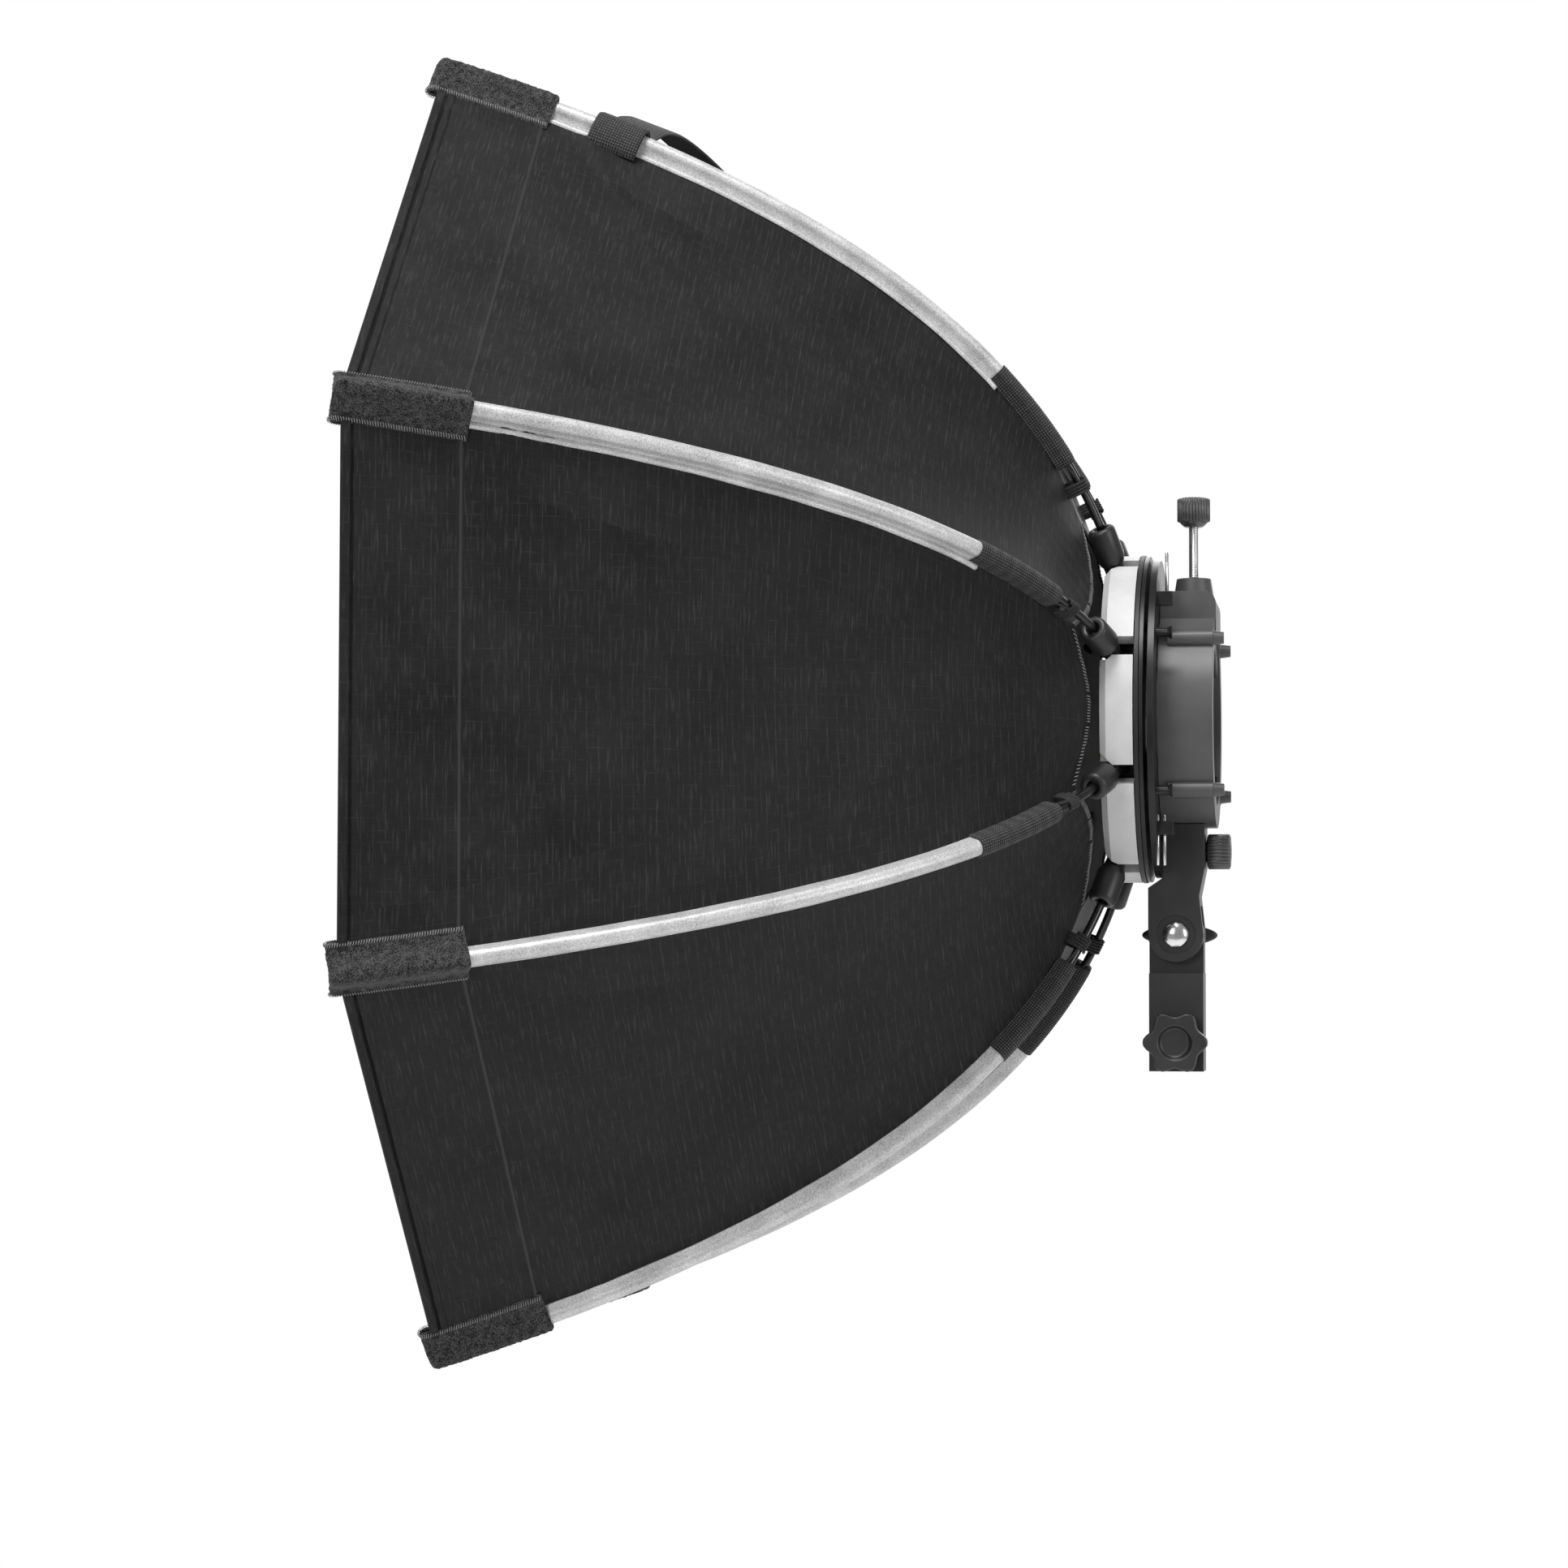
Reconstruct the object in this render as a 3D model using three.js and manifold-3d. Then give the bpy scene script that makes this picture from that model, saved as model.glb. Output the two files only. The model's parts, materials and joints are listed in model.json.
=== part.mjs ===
// Folding octagonal softbox on a tilting light bracket.
// Millimetres, +Z up. The softbox axis runs along Y and its open front faces -Y.
// The model's origin is the centre of the stand socket's mouth, on the stand's axis.
// Everything is laid out in the hub frame, whose origin is the centre of the hub flange's
// front face, and the whole group is then moved onto the stand.
import * as THREE from 'three';
import { mergeVertices } from 'three/addons/utils/BufferGeometryUtils.js';
import Module from 'manifold-3d';

const wasm = await Module();
wasm.setup();

// ---------------------------------------------------------------- driving dimensions
const GAP = 0.3;                 // clearance between neighbouring solids
const SIDES = 8;                 // ribs, gores, release keys and diffuser sectors
const STEP = (2 * Math.PI) / SIDES;
const ROUND_SIDES = 48;          // facets of the large rings
const HUB_HEIGHT = 170;          // softbox axis above the stand socket's mouth
const STAND_Y = 16;              // stand axis behind the hub flange's front face

const RIM_RADIUS = 325;          // rim corner, half of the 650 mm size
const RIM_Y = -320;
const HINGE_RADIUS = 64;
const HINGE_Y = -8;
const RIB_BENDS = [[163, -31], [252, -108]];   // control points of the rib's curve, radius and y
const ROD_RADIUS = 2;
const RIB_FOLD = THREE.MathUtils.degToRad(39.3);

const FABRIC_OFFSET = 3.3;       // rod centre to the cover's outer face
const FABRIC_THICKNESS = 1.2;
const COVER_STATIONS = 13;
const COVER_START = 0.125;       // share of the rib's curve where the cover's neck begins
const DIFFUSER_Y = -262;
const DIFFUSER_THICKNESS = 1.0;

const FLANGE_RADIUS = 79.5;
const WALL_INNER = 59.5;
const WALL_OUTER = 68.5;
const WALL_FRONT = -17;
const KEY_INNER = 72;
const KEY_OUTER = 79.2;
const KEY_HALF_ANGLE = THREE.MathUtils.degToRad(19);

const BARREL_RADIUS = 53;
const CLAMP_HOLE_RADIUS = 42;
const PLATE_FRONT = 6;
const PLATE_BACK = 9.2;
const BARREL_FRONT = PLATE_BACK + GAP;
const BARREL_BACK = 35.5;
const LUG_ANGLES = [90, 210, 330];
const TWIST = 18;

const PIVOT_Z = -104.4;
const ARM_HALF_WIDTH = 15;
const TONGUE_HALF_WIDTH = 8.5;
const ADAPTER_BOTTOM = -HUB_HEIGHT;
const ADAPTER_TOP = -123;
const ADAPTER_HALF = 13;
const SOCKET_RADIUS = 8.1;
const SOCKET_DEPTH = 40;
const STAR_Z = -156;
const SCREW_Y = 24.5;            // axis of the flash clamp's screw

// ---------------------------------------------------------------- materials
function finish(color, roughness, metalness) {
  return new THREE.MeshStandardMaterial({ color, roughness, metalness });
}

const blackFabric = finish(0x1c1c1d, 0.85, 0);
const whiteFabric = finish(0xf2f2f0, 0.9, 0);
const blackPlastic = finish(0x1b1b1c, 0.5, 0);
const greyPlastic = finish(0xbdbdbd, 0.55, 0);
const blackMetal = finish(0x202021, 0.45, 0.6);
const steel = finish(0xc9c9c9, 0.25, 1);
const rubber = finish(0x151515, 0.8, 0);

// ---------------------------------------------------------------- solids
function solid(geometry, matrix = new THREE.Matrix4()) {
  const bare = geometry.clone().applyMatrix4(matrix);
  bare.deleteAttribute('normal');
  bare.deleteAttribute('uv');
  const merged = mergeVertices(bare, 1e-4);
  return new wasm.Manifold(new wasm.Mesh({
    numProp: 3,
    vertProperties: new Float32Array(merged.attributes.position.array),
    triVerts: new Uint32Array(merged.index.array),
  }));
}

function geometryOf(manifold) {
  const mesh = manifold.getMesh();
  const geometry = new THREE.BufferGeometry();
  geometry.setAttribute('position', new THREE.BufferAttribute(mesh.vertProperties, 3));
  geometry.setIndex(new THREE.BufferAttribute(mesh.triVerts, 1));
  geometry.computeVertexNormals();
  return geometry;
}

function union(...solids) {
  return solids.reduce((whole, piece) => whole.add(piece));
}

function cut(whole, ...tools) {
  return tools.reduce((rest, tool) => rest.subtract(tool), whole);
}

function box(low, high) {
  const size = high.map((value, i) => value - low[i]);
  const centre = high.map((value, i) => (value + low[i]) / 2);
  const place = new THREE.Matrix4().makeTranslation(...centre);
  return solid(new THREE.BoxGeometry(...size), place);
}

// A disc or rod between two points, with its own radius at each end.
function rod(from, to, radius, endRadius = radius, sides = 20) {
  const start = new THREE.Vector3(...from);
  const end = new THREE.Vector3(...to);
  const along = end.clone().sub(start);
  const up = new THREE.Vector3(0, 1, 0);
  const turn = new THREE.Quaternion().setFromUnitVectors(up, along.clone().normalize());
  const middle = start.clone().add(end).multiplyScalar(0.5);
  const place = new THREE.Matrix4().compose(middle, turn, new THREE.Vector3(1, 1, 1));
  return solid(new THREE.CylinderGeometry(endRadius, radius, along.length(), sides), place);
}

// A ring about the softbox axis.
function ring(inner, outer, yLow, yHigh, sides = ROUND_SIDES) {
  return cut(
    rod([0, yLow, 0], [0, yHigh, 0], outer, outer, sides),
    rod([0, yLow - 1, 0], [0, yHigh + 1, 0], inner, inner, sides),
  );
}

// Part of a ring about the softbox axis, between two angles in degrees from +X towards +Z.
function arcBlock(inner, outer, yLow, yHigh, fromDegrees, toDegrees, steps = 6) {
  const from = THREE.MathUtils.degToRad(fromDegrees);
  const to = THREE.MathUtils.degToRad(toDegrees);
  const shape = new THREE.Shape();
  for (let i = 0; i <= steps; i += 1) {
    const angle = from + ((to - from) * i) / steps;
    const x = outer * Math.cos(angle);
    const z = outer * Math.sin(angle);
    if (i === 0) shape.moveTo(x, z);
    else shape.lineTo(x, z);
  }
  for (let i = steps; i >= 0; i -= 1) {
    const angle = from + ((to - from) * i) / steps;
    shape.lineTo(inner * Math.cos(angle), inner * Math.sin(angle));
  }
  const depth = yHigh - yLow;
  const geometry = new THREE.ExtrudeGeometry(shape, { depth, bevelEnabled: false });
  const place = new THREE.Matrix4().makeTranslation(0, yHigh, 0);
  place.multiply(new THREE.Matrix4().makeRotationX(Math.PI / 2));
  return solid(geometry, place);
}

// An outline in the YZ plane, extruded along X.
function sidePlate(outline, xLow, xHigh) {
  const depth = xHigh - xLow;
  const geometry = new THREE.ExtrudeGeometry(outline, { depth, bevelEnabled: false, curveSegments: 16 });
  const place = new THREE.Matrix4().makeBasis(
    new THREE.Vector3(0, 1, 0),
    new THREE.Vector3(0, 0, 1),
    new THREE.Vector3(1, 0, 0),
  );
  place.setPosition(xLow, 0, 0);
  return solid(geometry, place);
}

// Places something made at azimuth 0 (+X radial) at the given azimuth about the softbox axis.
function atAzimuth(angle) {
  return new THREE.Matrix4().makeRotationY(-angle);
}

function turned(manifold, angle) {
  return solid(geometryOf(manifold), atAzimuth(angle));
}

const model = new THREE.Group();
const assembly = new THREE.Group();
assembly.position.set(0, -STAND_Y, HUB_HEIGHT);
model.add(assembly);

function addPart(name, shape, material) {
  const geometry = shape instanceof THREE.BufferGeometry ? shape : geometryOf(shape);
  const mesh = new THREE.Mesh(geometry, material);
  mesh.name = name;
  assembly.add(mesh);
  return mesh;
}

// ---------------------------------------------------------------- the rib's curve
const ribCurve = new THREE.CubicBezierCurve3(
  new THREE.Vector3(HINGE_RADIUS, HINGE_Y, 0),
  new THREE.Vector3(...RIB_BENDS[0], 0),
  new THREE.Vector3(...RIB_BENDS[1], 0),
  new THREE.Vector3(RIM_RADIUS, RIM_Y, 0),
);

function stationAt(t) {
  const point = ribCurve.getPoint(t);
  const along = ribCurve.getTangent(t);
  const inward = new THREE.Vector3(along.y, -along.x, 0);
  return { point, inward };
}

// The share of the rib's curve at which it reaches the given y.
function shareAtY(y) {
  let low = 0;
  let high = 1;
  for (let i = 0; i < 40; i += 1) {
    const middle = (low + high) / 2;
    if (ribCurve.getPoint(middle).y > y) low = middle;
    else high = middle;
  }
  return low;
}

function coverStations() {
  const stations = [];
  for (let i = 0; i < COVER_STATIONS; i += 1) {
    const t = COVER_START + ((1 - COVER_START) * i) / (COVER_STATIONS - 1);
    const { point, inward } = stationAt(t);
    const outer = point.clone().addScaledVector(inward, FABRIC_OFFSET);
    const inner = point.clone().addScaledVector(inward, FABRIC_OFFSET + FABRIC_THICKNESS);
    stations.push({ outer, inner, panel: panelHalfWidth(outer) });
  }
  return stations;
}

// Half of the cover strip that stays with a rib: with the ribs folded, neighbouring strips
// almost meet in the plane between two ribs.
function panelHalfWidth(point) {
  const meetingGap = 3;
  const sine = Math.sin(STEP / 2);
  const cosine = Math.cos(STEP / 2);
  const folded = HINGE_RADIUS
    + (point.x - HINGE_RADIUS) * Math.cos(RIB_FOLD)
    + (point.y - HINGE_Y) * Math.sin(RIB_FOLD);
  const share = sine * sine * Math.cos(RIB_FOLD) + cosine * cosine;
  return (folded * sine - meetingGap) / share;
}

// ---------------------------------------------------------------- thin curved shells
// Each section is a closed loop of points; consecutive sections are joined by a skin.
function loft(sections) {
  const count = sections[0].length;
  const points = sections.flat();
  const index = [];
  for (let s = 0; s < sections.length - 1; s += 1) {
    for (let i = 0; i < count; i += 1) {
      const a = s * count + i;
      const b = s * count + ((i + 1) % count);
      index.push(a, b, b + count, a, b + count, a + count);
    }
  }
  return { points, index, count };
}

function closedLoft(sections, capTriangles) {
  const { points, index, count } = loft(sections);
  const last = (sections.length - 1) * count;
  for (const [a, b, c] of capTriangles) {
    index.push(a, c, b);
    index.push(last + a, last + b, last + c);
  }
  const geometry = new THREE.BufferGeometry();
  const flat = new Float32Array(points.flatMap((point) => [point.x, point.y, point.z]));
  geometry.setAttribute('position', new THREE.BufferAttribute(flat, 3));
  geometry.setIndex(index);
  geometry.computeVertexNormals();
  return geometry;
}

// The strip of cover on one rib: a shallow V, at azimuth 0.
function ribPanelGeometry() {
  const lean = new THREE.Vector3(-Math.sin(STEP / 2), 0, Math.cos(STEP / 2));
  const leanBack = new THREE.Vector3(-Math.sin(STEP / 2), 0, -Math.cos(STEP / 2));
  const sections = coverStations().map(({ outer, inner, panel }) => [
    outer.clone().addScaledVector(leanBack, panel),
    outer.clone(),
    outer.clone().addScaledVector(lean, panel),
    inner.clone().addScaledVector(lean, panel),
    inner.clone(),
    inner.clone().addScaledVector(leanBack, panel),
  ]);
  return closedLoft(sections, [[0, 1, 4], [0, 4, 5], [1, 2, 3], [1, 3, 4]]);
}

// The middle of one gore, between two rib strips, at azimuth 0.
function goreGeometry() {
  const flatten = Math.cos(STEP / 2);
  const sections = coverStations().map(({ outer, inner, panel }) => {
    const outerReach = outer.x * Math.sin(STEP / 2) - panel - GAP;
    const innerReach = inner.x * Math.sin(STEP / 2) - panel - GAP;
    return [
      new THREE.Vector3(outer.x * flatten, outer.y, -outerReach),
      new THREE.Vector3(outer.x * flatten, outer.y, outerReach),
      new THREE.Vector3(inner.x * flatten, inner.y, innerReach),
      new THREE.Vector3(inner.x * flatten, inner.y, -innerReach),
    ];
  });
  return closedLoft(sections, [[0, 1, 2], [0, 2, 3]]);
}

// ---------------------------------------------------------------- ribs
function ribSolid() {
  const circle = new THREE.Shape();
  circle.absarc(0, 0, ROD_RADIUS, 0, 2 * Math.PI);
  const rodGeometry = new THREE.ExtrudeGeometry(circle, {
    extrudePath: ribCurve, steps: 14, curveSegments: 3, bevelEnabled: false,
  });
  const hinge = ribCurve.getPoint(0);
  const along = ribCurve.getPoint(COVER_START).sub(hinge).normalize();
  const at = (distance) => hinge.clone().addScaledVector(along, distance).toArray();
  const eyeRadius = 5.2;
  const footHalfWidth = 3.1;
  const footHalfDepth = 4.2;
  const foot = sidewaysBar(at(0), at(22), along, footHalfDepth, footHalfWidth);
  const eye = rod([hinge.x, hinge.y, -footHalfWidth], [hinge.x, hinge.y, footHalfWidth], eyeRadius, eyeRadius, 16);
  const socket = rod(at(19.5), at(34), 7, 6.6, 16);
  const bore = rod([hinge.x, hinge.y, -9], [hinge.x, hinge.y, 9], 1.7, 1.7, 12);
  const rodStart = rod(at(-20), at(12), 9, 9, 8);
  return cut(union(cut(solid(rodGeometry), rodStart), foot, eye, socket), bore);
}

function sidewaysBar(from, to, along, halfDepth, halfWidth) {
  const start = new THREE.Vector3(...from);
  const end = new THREE.Vector3(...to);
  const middle = start.clone().add(end).multiplyScalar(0.5);
  const turn = new THREE.Quaternion().setFromUnitVectors(new THREE.Vector3(1, 0, 0), along);
  const place = new THREE.Matrix4().compose(middle, turn, new THREE.Vector3(1, 1, 1));
  const length = end.distanceTo(start);
  return solid(new THREE.BoxGeometry(length, 2 * halfDepth, 2 * halfWidth), place);
}

// ---------------------------------------------------------------- front diffuser
// The cover's inner face where the diffuser is fixed, as a radius at a rib.
function coverInnerRadius(y) {
  const { point, inward } = stationAt(shareAtY(y));
  return point.addScaledVector(inward, FABRIC_OFFSET + FABRIC_THICKNESS + GAP).x;
}

// One eighth of the diffuser, at azimuth 0: a triangle whose point is on the axis.
function diffuserSector() {
  const edgeGap = GAP / 2;
  const apothem = coverInnerRadius(DIFFUSER_Y) * Math.cos(STEP / 2) - 1;
  const slope = Math.tan(STEP / 2);
  const tip = edgeGap / Math.sin(STEP / 2);
  const shape = new THREE.Shape();
  shape.moveTo(tip, 0);
  shape.lineTo(apothem, (apothem - tip) * slope);
  shape.lineTo(apothem, -(apothem - tip) * slope);
  shape.closePath();
  const geometry = new THREE.ExtrudeGeometry(shape, { depth: DIFFUSER_THICKNESS, bevelEnabled: false });
  const place = new THREE.Matrix4().makeTranslation(0, DIFFUSER_Y, 0);
  place.multiply(new THREE.Matrix4().makeRotationX(Math.PI / 2));
  return solid(geometry, place);
}

// ---------------------------------------------------------------- hub
function hubRing() {
  const flange = ring(WALL_INNER, FLANGE_RADIUS, 0, 2.1);
  let hub = union(ring(WALL_INNER, WALL_OUTER, WALL_FRONT, 0.5), flange);
  const slotHalfWidth = 3.5;
  const keyStemHalf = 6.4;
  for (let i = 0; i < SIDES; i += 1) {
    const slot = box([50, WALL_FRONT - 1, -slotHalfWidth], [75, -1.5, slotHalfWidth]);
    const pocket = box([66, -12.5, -keyStemHalf], [70, -4.5, keyStemHalf]);
    hub = cut(hub, turned(slot, (i + 0.5) * STEP), turned(pocket, i * STEP));
  }
  return cut(hub, torus(HINGE_RADIUS, 1.4));
}

function torus(radius, tube) {
  const profile = [];
  const sides = 6;
  for (let i = 0; i <= sides; i += 1) {
    const angle = (i * 2 * Math.PI) / sides;
    profile.push(new THREE.Vector2(radius + tube * Math.cos(angle), HINGE_Y + tube * Math.sin(angle)));
  }
  return solid(new THREE.LatheGeometry(profile, 40));
}

function releaseKey() {
  const half = THREE.MathUtils.radToDeg(KEY_HALF_ANGLE);
  const body = arcBlock(KEY_INNER, KEY_OUTER, -16, -0.4, -half, half, 6);
  const stem = box([69.3, -12, -6], [KEY_INNER + 1, -5, 6]);
  const chamferDepth = 3;
  const cornerCutter = (side) => {
    const outline = new THREE.Shape();
    const reach = KEY_OUTER * Math.sin(KEY_HALF_ANGLE) + 1;
    outline.moveTo(side * reach, -17);
    outline.lineTo(side * reach, -9);
    outline.lineTo(side * (reach - 7.5), -17);
    outline.closePath();
    const geometry = new THREE.ExtrudeGeometry(outline, { depth: 12, bevelEnabled: false });
    const place = new THREE.Matrix4().makeBasis(
      new THREE.Vector3(0, 0, 1),
      new THREE.Vector3(0, 1, 0),
      new THREE.Vector3(-1, 0, 0),
    );
    place.setPosition(KEY_OUTER + 2, 0, 0);
    return solid(geometry, place);
  };
  const frontChamfer = cut(
    ring(KEY_OUTER - chamferDepth, KEY_OUTER + 8, -17, -16 + chamferDepth),
    rod([0, -16, 0], [0, -16 + chamferDepth, 0], KEY_OUTER - chamferDepth, KEY_OUTER + 0.02, ROUND_SIDES),
  );
  return cut(union(body, stem), cornerCutter(1), cornerCutter(-1), frontChamfer);
}

// Metal ring behind the flange, with three hooked lugs that lock behind the bracket's plate.
function bayonetRing() {
  let whole = ring(43, FLANGE_RADIUS - 0.5, 2.1 + GAP, 4.2);
  for (const angle of LUG_ANGLES) {
    const stem = arcBlock(43, 46.2, 3.5, 12.6, angle - 8, angle + 8, 4);
    const hook = arcBlock(45.5, 48.8, 9.9, 12.6, angle - 8, angle + 8, 4);
    whole = union(whole, stem, hook);
  }
  return whole;
}

// ---------------------------------------------------------------- flash bracket
function facePlate() {
  let plate = ring(46.6, 77, PLATE_FRONT, PLATE_BACK);
  for (const angle of LUG_ANGLES) {
    const centre = angle + TWIST;
    plate = cut(plate, arcBlock(45, 49.4, PLATE_FRONT - 1, PLATE_BACK + 1, centre - 9.5, centre + 9.5, 4));
  }
  const postRadius = 72;
  const blockHalf = 3.3;
  for (const degrees of [31, 149, 211, 329]) {
    const angle = THREE.MathUtils.degToRad(degrees);
    const x = postRadius * Math.cos(angle);
    const z = postRadius * Math.sin(angle);
    plate = union(
      plate,
      rod([x, PLATE_BACK - 1, z], [x, 16, z], 2.3, 2.3, 12),
      rod([x, 15, z], [x, 17.2, z], 2.3, 3.4, 12),
    );
  }
  for (const degrees of [49, 131, 229, 311]) {
    const angle = THREE.MathUtils.degToRad(degrees);
    const x = postRadius * Math.cos(angle);
    const z = postRadius * Math.sin(angle);
    plate = union(plate, box([x - blockHalf, PLATE_BACK - 1, z - blockHalf], [x + blockHalf, 16.8, z + blockHalf]));
  }
  return plate;
}

function clampBody() {
  const barrel = rod([0, BARREL_FRONT, 0], [0, BARREL_BACK, 0], BARREL_RADIUS, BARREL_RADIUS, ROUND_SIDES);
  const crown = new THREE.Shape();
  crown.moveTo(BARREL_FRONT, 30);
  crown.lineTo(BARREL_FRONT, 60);
  crown.lineTo(31, 60);
  crown.quadraticCurveTo(36, 59, 36.2, 53);
  crown.lineTo(36.2, 30);
  crown.closePath();
  const block = sidePlate(crown, -25, 25);
  const boss = rod([0, SCREW_Y, 59], [0, SCREW_Y, 68], 9.7, 8.3);
  let whole = union(barrel, block, boss);
  for (const [x, z] of [[40, 36], [-40, 36], [40, -36], [-40, -36]]) {
    whole = union(
      whole,
      rod([x, 14, z], [x, BARREL_BACK, z], 4.2, 4.2, 16),
      rod([x, BARREL_BACK - 1, z], [x, 40.5, z], 3.6, 2.8, 16),
    );
  }
  return cut(
    whole,
    rod([0, 0, 0], [0, 60, 0], CLAMP_HOLE_RADIUS, CLAMP_HOLE_RADIUS, 48),
    rod([0, 0, 0], [0, 14, 0], 50, 50, 48),
    rod([0, SCREW_Y, 30], [0, SCREW_Y, 80], 2.8, 2.8, 16),
  );
}

function jawBlock(inner, outer, halfAngle, centreDegrees, yLow, yHigh) {
  return arcBlock(inner, outer, yLow, yHigh, centreDegrees - halfAngle, centreDegrees + halfAngle, 10);
}

function upperJaw() {
  const jaw = jawBlock(34.3, 41.4, 48, 90, 15, 34.5);
  return cut(jaw, rod([0, SCREW_Y, 38.6], [0, SCREW_Y, 50], 3.2, 3.2, 16));
}

function knurledKnob(from, to, radius, teeth) {
  const start = new THREE.Vector3(...from);
  const end = new THREE.Vector3(...to);
  const shape = new THREE.Shape();
  for (let i = 0; i < teeth * 2; i += 1) {
    const angle = (i * Math.PI) / teeth;
    const reach = radius - (i % 2) * 0.6;
    if (i === 0) shape.moveTo(reach, 0);
    else shape.lineTo(reach * Math.cos(angle), reach * Math.sin(angle));
  }
  shape.closePath();
  const depth = start.distanceTo(end);
  const geometry = new THREE.ExtrudeGeometry(shape, { depth, bevelEnabled: false });
  const turn = new THREE.Quaternion().setFromUnitVectors(
    new THREE.Vector3(0, 0, 1),
    end.clone().sub(start).normalize(),
  );
  return solid(geometry, new THREE.Matrix4().compose(start, turn, new THREE.Vector3(1, 1, 1)));
}

function clampKnob() {
  return union(
    knurledKnob([0, SCREW_Y, 95.5], [0, SCREW_Y, 107.5], 8, 20),
    rod([0, SCREW_Y, 93.5], [0, SCREW_Y, 96], 4.2, 6.8),
  );
}

// ---------------------------------------------------------------- tilt arm and stand adapter
function armOutline() {
  const radius = 13.2;
  const front = STAND_Y - radius;
  const outline = new THREE.Shape();
  outline.moveTo(10, -44);
  outline.lineTo(10, -77);
  outline.lineTo(front, -82);
  outline.lineTo(front, PIVOT_Z);
  outline.absarc(STAND_Y, PIVOT_Z, radius, Math.PI, 2 * Math.PI, false);
  outline.lineTo(STAND_Y + radius - 2, -86);
  outline.lineTo(30, -72);
  outline.lineTo(30, -44);
  outline.closePath();
  return outline;
}

function tiltArm() {
  const arm = sidePlate(armOutline(), -ARM_HALF_WIDTH, ARM_HALF_WIDTH);
  const forkHalf = TONGUE_HALF_WIDTH + GAP;
  const recess = rod([ARM_HALF_WIDTH - 1.2, STAND_Y, PIVOT_Z], [ARM_HALF_WIDTH + 1, STAND_Y, PIVOT_Z], 9.4);
  return cut(
    arm,
    rod([0, 0, 0], [0, 60, 0], BARREL_RADIUS + GAP, BARREL_RADIUS + GAP, ROUND_SIDES),
    rod([-forkHalf, STAND_Y, PIVOT_Z], [forkHalf, STAND_Y, PIVOT_Z], 14.5, 14.5, 32),
    box([-forkHalf, -5, PIVOT_Z - 20], [forkHalf, 40, PIVOT_Z]),
    box([-forkHalf, STAND_Y, PIVOT_Z - 1], [forkHalf, 40, PIVOT_Z + 13.8]),
    rod([-20, STAND_Y, PIVOT_Z], [20, STAND_Y, PIVOT_Z], 3.3),
    rod([0, 14, -64.3], [0, 34, -64.3], 2.9, 2.9, 16),
    recess,
  );
}

function rearThumbscrew() {
  return union(
    knurledKnob([0, 30.5, -64.3], [0, 42, -64.3], 8.5, 20),
    rod([0, 18, -64.3], [0, 31, -64.3], 2.5, 2.5, 16),
  );
}

function pivotBolt() {
  const face = ARM_HALF_WIDTH - 1.2 + GAP;
  const dome = new THREE.SphereGeometry(6.5, 16, 10);
  const flatten = new THREE.Matrix4().makeScale(0.55, 1, 1);
  flatten.setPosition(face, STAND_Y, PIVOT_Z);
  const half = cut(solid(dome, flatten), box([face - 10, 0, PIVOT_Z - 20], [face, 40, PIVOT_Z + 20]));
  const shank = rod([-ARM_HALF_WIDTH - 0.2, STAND_Y, PIVOT_Z], [face + 1, STAND_Y, PIVOT_Z], 3);
  return union(half, shank);
}

function tiltLever() {
  const outline = new THREE.Shape();
  outline.moveTo(STAND_Y - 18.3, PIVOT_Z);
  outline.lineTo(STAND_Y - 12, PIVOT_Z - 4.5);
  outline.lineTo(STAND_Y + 12, PIVOT_Z - 4.5);
  outline.lineTo(STAND_Y + 18.3, PIVOT_Z);
  outline.lineTo(STAND_Y + 12, PIVOT_Z + 4.5);
  outline.lineTo(STAND_Y - 12, PIVOT_Z + 4.5);
  outline.closePath();
  return union(
    sidePlate(outline, -26, -20),
    rod([-27, STAND_Y, PIVOT_Z], [-ARM_HALF_WIDTH - 0.5, STAND_Y, PIVOT_Z], 7.5, 8.5),
  );
}

function standAdapter() {
  const block = box(
    [-ADAPTER_HALF, STAND_Y - ADAPTER_HALF, ADAPTER_BOTTOM],
    [ADAPTER_HALF, STAND_Y + ADAPTER_HALF, ADAPTER_TOP],
  );
  const tongueRadius = 13;
  const half = TONGUE_HALF_WIDTH;
  const neck = box([-half, STAND_Y - tongueRadius, ADAPTER_TOP - 2], [half, STAND_Y + tongueRadius, PIVOT_Z]);
  const tongue = rod([-half, STAND_Y, PIVOT_Z], [half, STAND_Y, PIVOT_Z], tongueRadius, tongueRadius, 32);
  return cut(
    union(block, neck, tongue),
    rod([0, STAND_Y, ADAPTER_BOTTOM - 1], [0, STAND_Y, ADAPTER_BOTTOM + SOCKET_DEPTH], SOCKET_RADIUS),
    rod([-20, STAND_Y, PIVOT_Z], [20, STAND_Y, PIVOT_Z], 3.3),
    rod([0, STAND_Y, STAR_Z], [20, STAND_Y, STAR_Z], 2.7, 2.7, 16),
  );
}

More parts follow.
